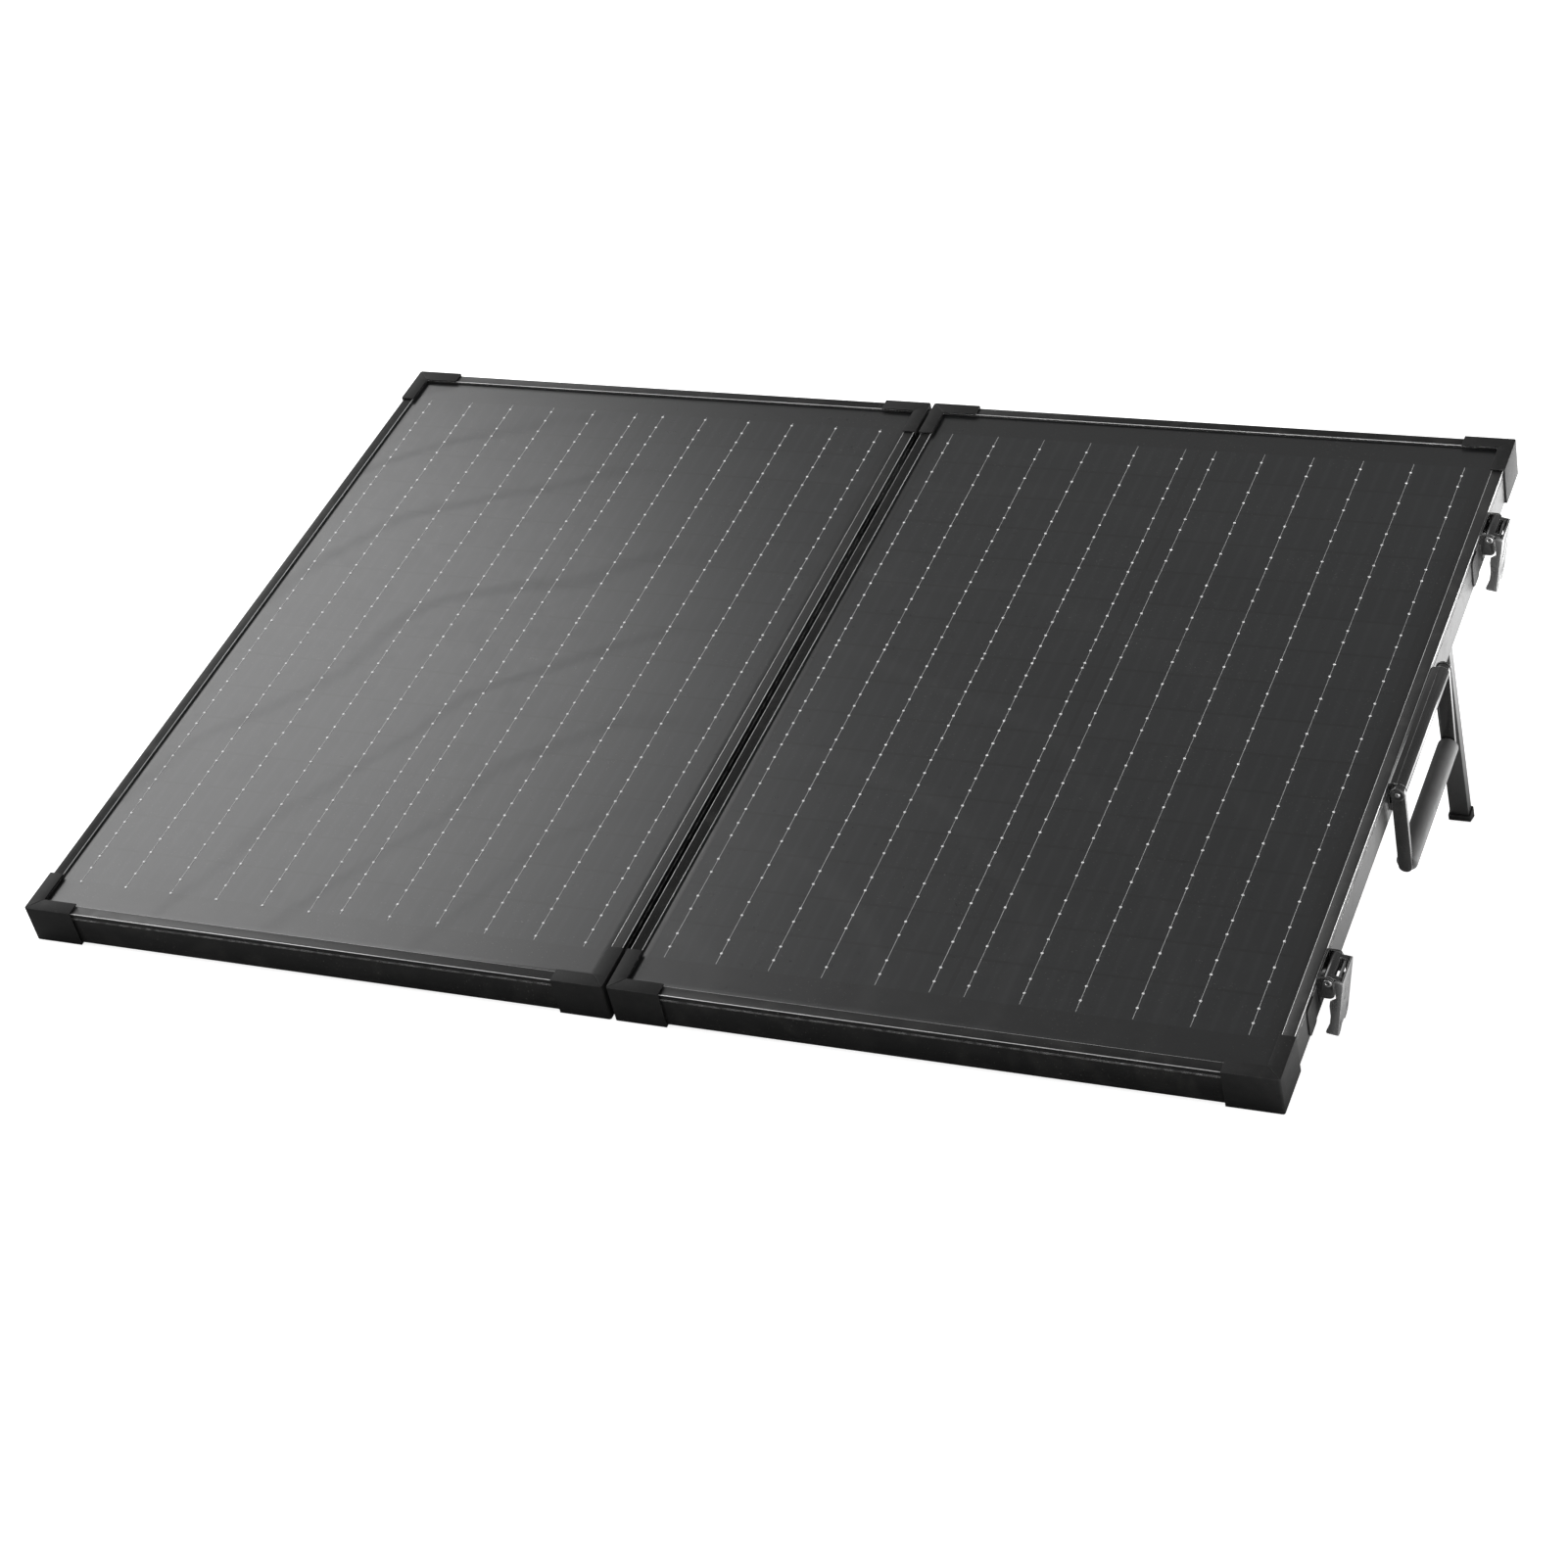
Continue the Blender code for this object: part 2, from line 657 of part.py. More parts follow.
def handle_bail(name):
    """Two flat arms with round ends, and the rod between them that carries the grip."""
    outline = arc((0, 0), ARM_HALF_WIDTH, 0, 180) + arc((0, -ARM_LENGTH), ARM_HALF_WIDTH, 180, 360)
    middle = ARM_INNER + ARM_THICK / 2
    bail = plate(name, [outline], "XZ", -middle, ARM_THICK, "handle_plastic", smooth=True)
    arm = plate(name + "_arm", [outline], "XZ", middle, ARM_THICK, "handle_plastic", smooth=True)
    reach = ARM_INNER + ARM_THICK / 2
    center = (0, 0, -ARM_LENGTH)
    cross = rod(name + "_rod", GRIP_ROD_RADIUS, -reach, reach, "Y", center, "handle_plastic", 16)
    combine(bail, "UNION", [cross, arm])
    hole = PIVOT_PIN_RADIUS + GAP
    far = BAR_HALF * 2
    pivot = rod(name + "_pivot_hole", hole, -far, far, "Y", (0, 0, 0), "handle_plastic", 16)
    return combine(bail, "DIFFERENCE", [pivot])


def handle_grip(name):
    """A thick tube round the bail's rod, with its end edges eased."""
    half = ARM_INNER - 2 * GAP
    bore = GRIP_ROD_RADIUS + GAP
    ease = 0.0012
    profile = [
        (bore, half),
        (GRIP_RADIUS - ease, half),
        (GRIP_RADIUS, half - ease),
        (GRIP_RADIUS, ease - half),
        (GRIP_RADIUS - ease, -half),
        (bore, -half),
    ]
    return turned(name, profile, "Y", "grip_rubber", ring=True, steps=28)


def pivot_pin(name):
    """A pin along +Y with its domed cap's inner face at Y = 0."""
    cap = 0.0018
    profile = [
        (0, cap),
        (PIVOT_CAP_RADIUS * 0.6, cap),
        (PIVOT_CAP_RADIUS, cap / 2),
        (PIVOT_CAP_RADIUS, 0),
        (PIVOT_PIN_RADIUS, 0),
        (PIVOT_PIN_RADIUS, -PIVOT_PIN_REACH),
        (0, -PIVOT_PIN_REACH),
    ]
    return turned(name, profile, "Y", "handle_plastic", steps=20)


handle_line = (OUTER_X + HANDLE_PIVOT[0], HANDLE_Y, HANDLE_PIVOT[1])
attach(handle_base("handle_base"), panels["right"], handle_line)
handle_joint = empty("handle_joint", panels["right"], handle_line)
attach(handle_bail("handle_bail"), handle_joint)
attach(handle_grip("handle_grip"), handle_joint, (0, 0, -ARM_LENGTH))
for end, direction, turn in (("front", -1, math.pi), ("back", 1, 0)):
    cap_y = HANDLE_Y + direction * (ARM_INNER + ARM_THICK + GAP)
    place = (handle_line[0], cap_y, handle_line[2])
    attach(pivot_pin(f"handle_{end}_pivot_pin"), panels["right"], place, (0, 0, turn))


# Draw latches. X is measured outwards from the frame's side, and each latch is symmetric about Y = 0.


def latch_base(name):
    """A screwed back plate with an ear at each end."""
    corner = 0.004
    round_x = EAR_REACH - BARREL_CENTER[0]
    outline = [(GAP, BARREL_CENTER[1] + round_x)]
    outline += arc(BARREL_CENTER, round_x, 90, 0, 5)
    outline += arc((EAR_REACH - corner, EAR_BOTTOM + corner), corner, 0, -90, 5)
    outline += [(GAP + LATCH_SHEET, EAR_BOTTOM), (GAP + LATCH_SHEET, BASE_BOTTOM), (GAP, BASE_BOTTOM)]
    base = plate(name, [outline], "XZ", 0, 2 * LATCH_HALF, "latch_steel")
    inside = LATCH_HALF - LATCH_SHEET
    room = box(
        name + "_room",
        (GAP + LATCH_SHEET, -inside, 2 * BASE_BOTTOM),
        (2 * EAR_REACH, inside, EAR_REACH),
        "latch_steel",
    )
    center = (BARREL_CENTER[0], 0, BARREL_CENTER[1])
    reach = 2 * LATCH_HALF
    hole = rod(name + "_hole", RIVET_RADIUS + GAP, -reach, reach, "Y", center, "latch_steel", 16)
    return combine(base, "DIFFERENCE", [room, hole])


def latch_rivet(name):
    """A hollow rivet along Y, flared outside both ears."""
    neck = LATCH_HALF + GAP
    flare = 0.0007
    ring = RIVET_RADIUS * 1.7
    bore = RIVET_RADIUS * 0.55
    profile = [
        (bore, neck + flare),
        (ring, neck + flare),
        (ring, neck),
        (RIVET_RADIUS, neck),
        (RIVET_RADIUS, -neck),
        (ring, -neck),
        (ring, -neck - flare),
        (bore, -neck - flare),
    ]
    return turned(name, profile, "Y", "rivet_steel", ring=True, steps=16)


def latch_link(name):
    """A barrel on the rivet, with two arms that carry the lever's pin."""
    reach = LEVER_CENTER[0] - BARREL_CENTER[0]
    drop = LEVER_CENTER[1] - BARREL_CENTER[1]
    knuckle = LEVER_EDGE
    outline = arc((0, 0), BARREL_RADIUS * 0.8, 90, 270, 6) + arc((reach, drop), knuckle, -90, 90, 6)
    link = rod(name, BARREL_RADIUS, -BARREL_HALF, BARREL_HALF, "Y", (0, 0, 0), "latch_steel", 20)
    arm_thick = 0.0034
    arm_middle = BARREL_HALF - arm_thick / 2 - GAP / 3
    arms = []
    for end, direction in (("front", -1), ("back", 1)):
        arms.append(
            plate(f"{name}_{end}_arm", [outline], "XZ", direction * arm_middle, arm_thick, "latch_steel")
        )
    combine(link, "UNION", arms)
    far = 2 * BARREL_HALF
    rivet_hole = rod(name + "_rivet_hole", RIVET_RADIUS + GAP, -far, far, "Y", (0, 0, 0), "latch_steel", 16)
    lever_center = (reach, 0, drop)
    pin_hole = rod(
        name + "_pin_hole", LEVER_PIN_RADIUS + GAP, -far, far, "Y", lever_center, "latch_steel", 12
    )
    return combine(link, "DIFFERENCE", [rivet_hole, pin_hole])


def lever_side_outline():
    """The lever's channel seen along its pin: deep below the ears, with a shallow waist and a flared end.

    Its top inner corner is cut back, so that it clears the ears as the lever swings.
    """
    return [
        (LEVER_FACE, LEVER_END),
        (LEVER_FACE, LEVER_TOP),
        (-LEVER_EDGE * 0.4, LEVER_TOP),
        (-LEVER_EDGE, LEVER_TOP * 0.35),
        (-LEVER_EDGE, 0),
        (0.0001, -0.0138),
        (-0.0036, -0.0175),
        (-0.0036, -0.0215),
        (-0.0023, -0.0300),
        (-0.0023, -0.0370),
        (-0.0043, -0.0450),
        (-0.0038, -0.0475),
        (0.0010, -0.0480),
    ]


def lever_face_outlines():
    """The pressed face: round shoulders and a scalloped end, two slots, and a U cut round its tongue."""
    shoulder = 0.003
    lobe = 0.0055
    half = LEVER_HALF
    arch_top = LEVER_END + 0.0045
    edge = arc((half - shoulder, LEVER_TOP - shoulder), shoulder, 0, 90, 4)
    edge += arc((shoulder - half, LEVER_TOP - shoulder), shoulder, 90, 180, 4)
    edge += arc((lobe - half, LEVER_END + lobe), lobe, 180, 290, 6)
    edge += [(-0.0025, arch_top), (0.0025, arch_top)]
    edge += arc((half - lobe, LEVER_END + lobe), lobe, 250, 360, 6)
    slots = [slot_outline((across, -0.0400), 0.0014, 0.0040, 0.0013) for across in (-0.0085, 0.0085)]
    tongue_half = 0.0042
    cut = 0.0011
    turn = (0, -0.0200)
    tongue = [(-tongue_half, -0.0060)]
    tongue += arc(turn, tongue_half, 180, 360, 8)
    tongue += [(tongue_half, -0.0060), (tongue_half - cut, -0.0060)]
    tongue += arc(turn, tongue_half - cut, 360, 180, 8)
    tongue += [(cut - tongue_half, -0.0060)]
    return [edge] + slots + [tongue]


def latch_lever(name):
    """A pressed channel that hangs from its pin, open towards the frame."""
    lever = plate(name, [lever_side_outline()], "XZ", 0, 2 * LEVER_HALF, "latch_steel")
    inside = LEVER_HALF - LEVER_SHEET
    room = box(
        name + "_room",
        (-LEVER_HALF, -inside, 2 * LEVER_END),
        (LEVER_FACE - LEVER_SHEET, inside, LEVER_HALF),
        "latch_steel",
    )
    combine(lever, "DIFFERENCE", [room])
    face = plate(name + "_face", lever_face_outlines(), "YZ", 0, 2 * LEVER_HALF, "latch_steel")
    combine(lever, "INTERSECT", [face])
    reach = LEVER_HALF - LEVER_SHEET / 2
    pin = rod(name + "_pin", LEVER_PIN_RADIUS, -reach, reach, "Y", (0, 0, 0), "latch_steel", 12)
    return combine(lever, "UNION", [pin])


def latch_keeper(name):
    """A small upright hook, made about the middle of its back plate."""
    half = 0.007
    sheet = 0.0013
    hook = 0.0056
    outline = [
        (GAP, half),
        (GAP + sheet, half),
        (GAP + sheet, sheet),
        (hook - sheet, sheet),
        (hook - sheet, half / 2),
        (hook, half / 2),
        (hook, 0),
        (GAP + sheet, 0),
        (GAP + sheet, -half),
        (GAP, -half),
    ]
    return plate(name, [outline], "XZ", 0, KEEPER_WIDTH, "latch_steel")


LATCH_PLACES = (("front", LATCH_FROM_END), ("back", FRAME_LENGTH + 2 * GUARD_PROUD - LATCH_FROM_END))
for place, y in LATCH_PLACES:
    attach(latch_base(f"{place}_latch_base"), panels["right"], (OUTER_X, y, 0))
    barrel_place = (OUTER_X + BARREL_CENTER[0], y, BARREL_CENTER[1])
    attach(latch_rivet(f"{place}_latch_rivet"), panels["right"], barrel_place)
    link_joint = empty(f"{place}_latch_link_joint", panels["right"], barrel_place)
    attach(latch_link(f"{place}_latch_link"), link_joint)
    to_lever = (LEVER_CENTER[0] - BARREL_CENTER[0], 0, LEVER_CENTER[1] - BARREL_CENTER[1])
    lever_joint = empty(f"{place}_latch_lever_joint", link_joint, to_lever, (0, LEVER_TILT, 0))
    attach(latch_lever(f"{place}_latch_lever"), lever_joint)
    keeper_place = on_panel("left", OUTER_X, y, KEEPER_Z)
    attach(latch_keeper(f"{place}_latch_keeper"), panels["left"], keeper_place, (0, 0, math.pi))


# Junction boxes, with a lid and a cable gland each.


def open_box(name, half_width, half_length, top, height, wall, material):
    """A case with its opening towards -Z."""
    case = box(name, (-half_width, -half_length, top - height), (half_width, half_length, top), material)
    soften(case, wall)
    room = box(
        name + "_room",
        (wall - half_width, wall - half_length, top - 2 * height),
        (half_width - wall, half_length - wall, top - wall),
        material,
    )
    return combine(case, "DIFFERENCE", [room])


def cable_gland(name, material):
    """A stepped tube along +Y that starts at the origin, with the cable's way through it."""
    nut = GLAND_RADIUS
    neck = GLAND_RADIUS * 0.72
    bore = GLAND_RADIUS * 0.45
    profile = [
        (bore, GLAND_LENGTH),
        (neck, GLAND_LENGTH),
        (nut, GLAND_LENGTH * 0.8),
        (nut, GLAND_LENGTH * 0.35),
        (neck, GLAND_LENGTH * 0.3),
        (neck, 0),
        (bore, 0),
    ]
    return turned(name, profile, "Y", material, ring=True, steps=12)


for side, sign in SIDES:
    case = open_box(
        f"{side}_junction_box",
        BOX_WIDTH / 2,
        BOX_LENGTH / 2,
        BACK_MOUNT_Z,
        BOX_HEIGHT,
        BOX_WALL,
        "box_plastic",
    )
    attach(case, panels[side], on_panel(side, MIDDLE_X, BOX_Y, 0))
    lid_top = BACK_MOUNT_Z - BOX_HEIGHT - GAP
    half_width, half_length = BOX_WIDTH / 2, BOX_LENGTH / 2
    lid = box(
        f"{side}_junction_box_lid",
        (-half_width, -half_length, lid_top - PLATE_THICK),
        (half_width, half_length, lid_top),
        "box_plastic",
    )
    attach(lid, panels[side], on_panel(side, MIDDLE_X, BOX_Y, 0))
    gland_z = BACK_MOUNT_Z - BOX_HEIGHT / 2
    gland = cable_gland(f"{side}_junction_box_gland", "box_plastic")
    gland_place = on_panel(side, MIDDLE_X, BOX_Y - half_length - GAP, gland_z)
    attach(gland, panels[side], gland_place, (0, 0, math.pi))


# Charge controller in a cradle on the right panel's back.


def controller_cradle(name):
    """A sheet cradle with a lip down each end of the controller."""
    half = CONTROLLER_WIDTH / 2 + GAP
    lip = half + PLATE_THICK
    drop = BACK_MOUNT_Z - PLATE_THICK - 0.009
    outline = [
        (-lip, BACK_MOUNT_Z),
        (-lip, drop),
        (-half, drop),
        (-half, BACK_MOUNT_Z - PLATE_THICK),
        (half, BACK_MOUNT_Z - PLATE_THICK),
        (half, drop),
        (lip, drop),
        (lip, BACK_MOUNT_Z),
    ]
    return plate(name, [outline], "XZ", 0, CONTROLLER_LENGTH * 0.55, "hinge_steel")


CASE_TOP = BACK_MOUNT_Z - PLATE_THICK - GAP
FACE_TOP = CASE_TOP - CONTROLLER_HEIGHT - GAP
BUTTON_X = CONTROLLER_WIDTH * 0.32
BUTTON_FLANGE = BUTTON_RADIUS + 0.0014
BUTTON_FLANGE_THICK = 0.001


def controller_face(name):
    """The cover plate over the case's opening, with a hole for the button."""
    half_width, half_length = CONTROLLER_WIDTH / 2, CONTROLLER_LENGTH / 2
    edge = slot_outline((0, 0), half_width, half_length, BOX_WALL)
    hole = arc((BUTTON_X, 0), BUTTON_RADIUS + GAP, 0, 345, 23)
    middle = FACE_TOP - PLATE_THICK / 2
    return plate(name, [edge, hole], "XY", middle, PLATE_THICK, "controller_face")


def controller_button(name):
    """A push button along Z, held behind the face plate by its flange, from the plate's inner side."""
    proud = PLATE_THICK + 0.0016
    profile = [
        (0, GAP + BUTTON_FLANGE_THICK),
        (BUTTON_FLANGE, GAP + BUTTON_FLANGE_THICK),
        (BUTTON_FLANGE, GAP),
        (BUTTON_RADIUS, GAP),
        (BUTTON_RADIUS, GAP - proud),
        (BUTTON_RADIUS * 0.85, -proud),
        (0, -proud),
    ]
    return turned(name, profile, "Z", "knob_plastic", steps=20)


controller_place = (MIDDLE_X, CONTROLLER_Y, 0)
attach(controller_cradle("controller_cradle"), panels["right"], controller_place)
controller_case = open_box(
    "controller_case",
    CONTROLLER_WIDTH / 2,
    CONTROLLER_LENGTH / 2,
    CASE_TOP,
    CONTROLLER_HEIGHT,
    BOX_WALL,
    "box_plastic",
)
attach(controller_case, panels["right"], controller_place)
attach(controller_face("controller_face"), panels["right"], controller_place)
button_place = (MIDDLE_X + BUTTON_X, CONTROLLER_Y, FACE_TOP)
attach(controller_button("controller_button"), panels["right"], button_place)
gland_y = CONTROLLER_Y - CONTROLLER_LENGTH / 2 - GAP
gland_z = CASE_TOP - CONTROLLER_HEIGHT / 2
controller_gland = cable_gland("controller_gland", "box_plastic")
attach(controller_gland, panels["right"], (MIDDLE_X, gland_y, gland_z), (0, 0, math.pi))


# Tilt the kit, then stand it on the origin: its footprint's middle at X = Y = 0 and the ground at Z = 0.


def world_points():
    """Where every vertex of the kit is in the world."""
    graph = bpy.context.evaluated_depsgraph_get()
    points = []
    for obj in kit_parts.objects:
        if obj.type != "MESH":
            continue
        evaluated = obj.evaluated_get(graph)
        points += [evaluated.matrix_world @ vertex.co for vertex in evaluated.data.vertices]
    return points


kit.rotation_euler = (TILT, 0, 0)
bpy.context.view_layer.update()
points = world_points()
spans = [(min(p[axis] for p in points), max(p[axis] for p in points)) for axis in range(3)]
kit.location = (-sum(spans[0]) / 2, -sum(spans[1]) / 2, -spans[2][0])
bpy.context.view_layer.update()
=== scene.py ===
# %% [markdown]
# # A folding solar suitcase
# The real thing is two framed solar panels hinged together like a suitcase. It stands open on two folding
# legs, with corner guards, two draw latches and a carrying handle. A measured model of it is loaded first.
# It is the fixed frame: each piece made below takes its place and size from it.

# %% Load the measured model
import json
import math

import bpy
from mathutils import Matrix, Quaternion, Vector


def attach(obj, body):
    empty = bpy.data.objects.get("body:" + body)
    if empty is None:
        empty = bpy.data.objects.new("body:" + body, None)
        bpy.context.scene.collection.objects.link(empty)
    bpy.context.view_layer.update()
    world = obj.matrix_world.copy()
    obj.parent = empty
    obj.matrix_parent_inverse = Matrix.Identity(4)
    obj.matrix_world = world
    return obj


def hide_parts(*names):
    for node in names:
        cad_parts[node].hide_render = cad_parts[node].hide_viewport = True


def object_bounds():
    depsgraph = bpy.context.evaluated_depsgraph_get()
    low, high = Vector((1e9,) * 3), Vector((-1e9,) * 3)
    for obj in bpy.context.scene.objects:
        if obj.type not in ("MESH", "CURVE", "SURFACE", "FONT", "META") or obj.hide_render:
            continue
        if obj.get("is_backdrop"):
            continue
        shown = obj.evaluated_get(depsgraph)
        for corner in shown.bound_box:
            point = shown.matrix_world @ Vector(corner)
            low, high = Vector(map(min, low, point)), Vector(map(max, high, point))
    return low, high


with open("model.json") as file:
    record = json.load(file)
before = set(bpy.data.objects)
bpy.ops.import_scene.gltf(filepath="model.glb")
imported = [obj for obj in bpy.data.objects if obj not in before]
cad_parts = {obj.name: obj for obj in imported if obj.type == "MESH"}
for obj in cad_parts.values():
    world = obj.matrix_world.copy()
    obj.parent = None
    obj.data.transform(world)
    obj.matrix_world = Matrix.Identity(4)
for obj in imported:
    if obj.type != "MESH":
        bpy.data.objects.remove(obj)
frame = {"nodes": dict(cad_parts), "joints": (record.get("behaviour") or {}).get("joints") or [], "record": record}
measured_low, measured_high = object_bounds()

# %% [markdown]
# So the pieces are made lying flat: X runs across the panels from the seam, Y runs back from the front
# edge and Z points out of the glass. The seam's hinge joint gives the directions, and one matrix then
# tilts each finished mesh into place.

# %% The flat frame
fold = next(joint for joint in frame["joints"] if joint["name"] == "fold")
across = Vector((1, 0, 0))
along = -Vector(fold["axis"]).normalized()
outward = across.cross(along)


def reach(node_name, direction):
    """The least and the most that a measured piece reaches along a direction."""
    places = [vertex.co.dot(direction) for vertex in frame["nodes"][node_name].data.vertices]
    return min(places), max(places)


front_edge = reach("right_front_outer_guard", along)[0]
frame_top = reach("right_outer_rail", outward)[1]
flat_origin = across * fold["pos_m"][0] + along * front_edge + outward * frame_top
tilted = Matrix.Translation(flat_origin) @ Matrix((across, along, outward)).transposed().to_4x4()
flattened = tilted.inverted()
TILT = math.atan2(along.z, along.y)
print("tilt in degrees:", round(math.degrees(TILT), 2))


def flat_box(node_name):
    """The lowest and highest corners of a measured piece, lying flat."""
    places = [flattened @ vertex.co for vertex in frame["nodes"][node_name].data.vertices]
    low = Vector([min(place[axis] for place in places) for axis in range(3)])
    high = Vector([max(place[axis] for place in places) for axis in range(3)])
    return low, high


# %% [markdown]
# A camera and the light come before the pieces, so that each can be looked at as it is made. It leans a
# little to one side.

# %% The camera
CAMERA_PLACE = (0.99779, -1.41450, 1.54700)
CAMERA_AIM = (0.04675, 0.21489, 0.0)
CAMERA_LENS = 80.28
CAMERA_LEAN = math.radians(-3.014)
camera_place = tilted @ Vector(CAMERA_PLACE)
sight = tilted @ Vector(CAMERA_AIM) - camera_place
bpy.ops.object.select_all(action="DESELECT")
bpy.ops.object.camera_add(location=camera_place)
camera = bpy.context.object
camera.name = "camera"
lean = Quaternion((0, 0, 1), CAMERA_LEAN)
camera.rotation_euler = (sight.to_track_quat("-Z", "Y") @ lean).to_euler()
camera.data.lens = CAMERA_LENS
camera.data.sensor_width = 36.0
camera.data.clip_end = 100.0
bpy.context.scene.camera = camera
print("camera height:", round(camera_place.z, 3), "distance:", round(sight.length, 3))

# %% [markdown]
# Dark glossy things show what is around them more than they show their own colour. So the light is set as
# in a studio: a pale room all round, and one large soft panel up on the left, whose reflection fades
# across the glass. The floor is plain and pale. It also glows on the right, where only reflections see
# it, which lights the sides that face that way.

# %% Small helpers for nodes
def add_node(tree, kind, inputs=None, **settings):
    """Adds a shader node. An input is either a value or the output socket that feeds it."""
    made = tree.nodes.new("ShaderNode" + kind)
    for name, value in settings.items():
        setattr(made, name, value)
    for socket, value in (inputs or {}).items():
        if isinstance(value, bpy.types.NodeSocket):
            tree.links.new(value, made.inputs[socket])
        else:
            made.inputs[socket].default_value = value
    return made


def calc(tree, operation, first, second=0.0, third=0.0):
    made = add_node(tree, "Math", {0: first, 1: second, 2: third}, operation=operation)
    return made.outputs[0]


def remap(tree, value, low, high, start=0.0, end=1.0):
    """Stretches the range from low to high over start to end, and holds it there outside."""
    inputs = {"Value": value, "From Min": low, "From Max": high, "To Min": start, "To Max": end}
    return add_node(tree, "MapRange", inputs).outputs["Result"]


def blend_colors(tree, share, first, second):
    made = add_node(tree, "Mix", {0: share, 6: first, 7: second}, data_type="RGBA")
    return made.outputs[2]


def gray(level, warmth=0.0):
    """A nearly neutral colour. A positive warmth makes it yellower and a negative one bluer."""
    return (level * (1 + warmth), level, level * (1 - warmth), 1.0)


print("a slightly warm black:", gray(0.010, 0.01))

# %% [markdown]
# The room is a plain pale world, and the lamp is one large square, because a large lamp gives soft edges
# to shadows and to reflections. Its strength is set against the room's, and not on its own.

# %% Room and lamp
ROOM_STRENGTH = 0.42
PANEL_DIRECTION = (-0.80, 0.21, 0.62)
PANEL_DISTANCE, PANEL_SIZE, PANEL_POWER = 3.2, 2.4, 66
bpy.context.scene.view_settings.view_transform = "Standard"
room = bpy.data.worlds.new("studio room")
room.use_nodes = True
bpy.context.scene.world = room
room_light = room.node_tree.nodes["Background"]
room_light.inputs["Color"].default_value = (1.0, 1.0, 1.0, 1.0)
room_light.inputs["Strength"].default_value = ROOM_STRENGTH


def add_panel_light(name, direction, distance, size, power):
    place = Vector(direction).normalized() * distance
    bpy.ops.object.light_add(type="AREA", location=place)
    light = bpy.context.object
    light.name = name
    light.rotation_euler = place.to_track_quat("Z", "Y").to_euler()
    light.data.shape = "SQUARE"
    light.data.size = size
    light.data.energy = power
    return light


add_panel_light("left_panel_light", PANEL_DIRECTION, PANEL_DISTANCE, PANEL_SIZE, PANEL_POWER)

# %% [markdown]
# The floor is a large plane with a faint mottle in its paint.

# %% The floor
RIGHT_GLOW_START, RIGHT_GLOW_FULL, RIGHT_GLOW = 0.45, 0.9, 7.5
FLOOR_GLOW = 0.85
FLOOR_SIZE = 60
bpy.ops.mesh.primitive_plane_add(size=FLOOR_SIZE, location=(0, 0, -0.0005))
floor = bpy.context.object
floor.name = "studio_floor"
floor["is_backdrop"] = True
floor_paint = bpy.data.materials.new("pale floor")
floor_paint.use_nodes = True
floor_tree = floor_paint.node_tree
floor_shader = floor_tree.nodes["Principled BSDF"]
floor_mottle = add_node(floor_tree, "TexNoise", {"Scale": 3.0, "Detail": 4.0}).outputs[0]
paint_color = blend_colors(floor_tree, floor_mottle, gray(0.93), gray(0.96))
seen = add_node(floor_tree, "LightPath").outputs["Is Camera Ray"]
floor_color = blend_colors(floor_tree, seen, gray(0.6), paint_color)
floor_tree.links.new(floor_color, floor_shader.inputs["Base Color"])
floor_shader.inputs["Roughness"].default_value = 0.9
floor_shader.inputs["Specular IOR Level"].default_value = 0.1
floor_shader.inputs["Emission Color"].default_value = (1.0, 1.0, 1.0, 1.0)
floor_spot = add_node(floor_tree, "TexCoord").outputs["Object"]
floor_x = add_node(floor_tree, "SeparateXYZ", {0: floor_spot}).outputs[0]
unseen_glow = remap(floor_tree, floor_x, RIGHT_GLOW_START, RIGHT_GLOW_FULL, 0.0, RIGHT_GLOW)
glow = add_node(floor_tree, "Mix", {0: seen, 2: unseen_glow, 3: FLOOR_GLOW}).outputs[0]
floor_tree.links.new(glow, floor_shader.inputs["Emission Strength"])
floor.data.materials.append(floor_paint)
print("floor size:", FLOOR_SIZE)

# %% [markdown]
# The first is fine grain: noise that can be stretched, which gives brushed lines on metal and a
# pebbled skin on plastic. Patterns read the mesh's own coordinates, laid flat again by a Mapping node.

# %% The grain group
def new_group(name, inputs, outputs):
    """An empty node group with named sockets, and its input and output nodes."""
    group = bpy.data.node_groups.new(name, "ShaderNodeTree")
    kinds = {"vector": "NodeSocketVector", "value": "NodeSocketFloat"}
    for socket, kind, start in inputs:
        made = group.interface.new_socket(socket, in_out="INPUT", socket_type=kinds[kind])
        made.default_value = start
    for socket in outputs:
        group.interface.new_socket(socket, in_out="OUTPUT", socket_type=kinds["value"])
    return group, group.nodes.new("NodeGroupInput").outputs, group.nodes.new("NodeGroupOutput").inputs


def use_group(tree, group, inputs):
    made = tree.nodes.new("ShaderNodeGroup")
    made.node_tree = group
    for socket, value in inputs.items():
        if isinstance(value, bpy.types.NodeSocket):
            tree.links.new(value, made.inputs[socket])
        else:
            made.inputs[socket].default_value = value
    return made.outputs


grain_group, given, result = new_group(
    "grain",
    [("Place", "vector", (0, 0, 0)), ("Stretch", "vector", (1, 1, 1)), ("Fineness", "value", 1500.0)],
    ["Height", "Shade"],
)
inputs = {0: given["Place"], 1: given["Stretch"]}
stretched = add_node(grain_group, "VectorMath", inputs, operation="MULTIPLY").outputs[0]
inputs = {"Vector": stretched, "Scale": given["Fineness"], "Detail": 3.0, "Roughness": 0.6}
fine_noise = add_node(grain_group, "TexNoise", inputs).outputs[0]
coarse_scale = calc(grain_group, "MULTIPLY", given["Fineness"], 0.06)
inputs = {"Vector": stretched, "Scale": coarse_scale, "Detail": 4.0}
coarse_noise = add_node(grain_group, "TexNoise", inputs).outputs[0]
grain_group.links.new(fine_noise, result["Height"])
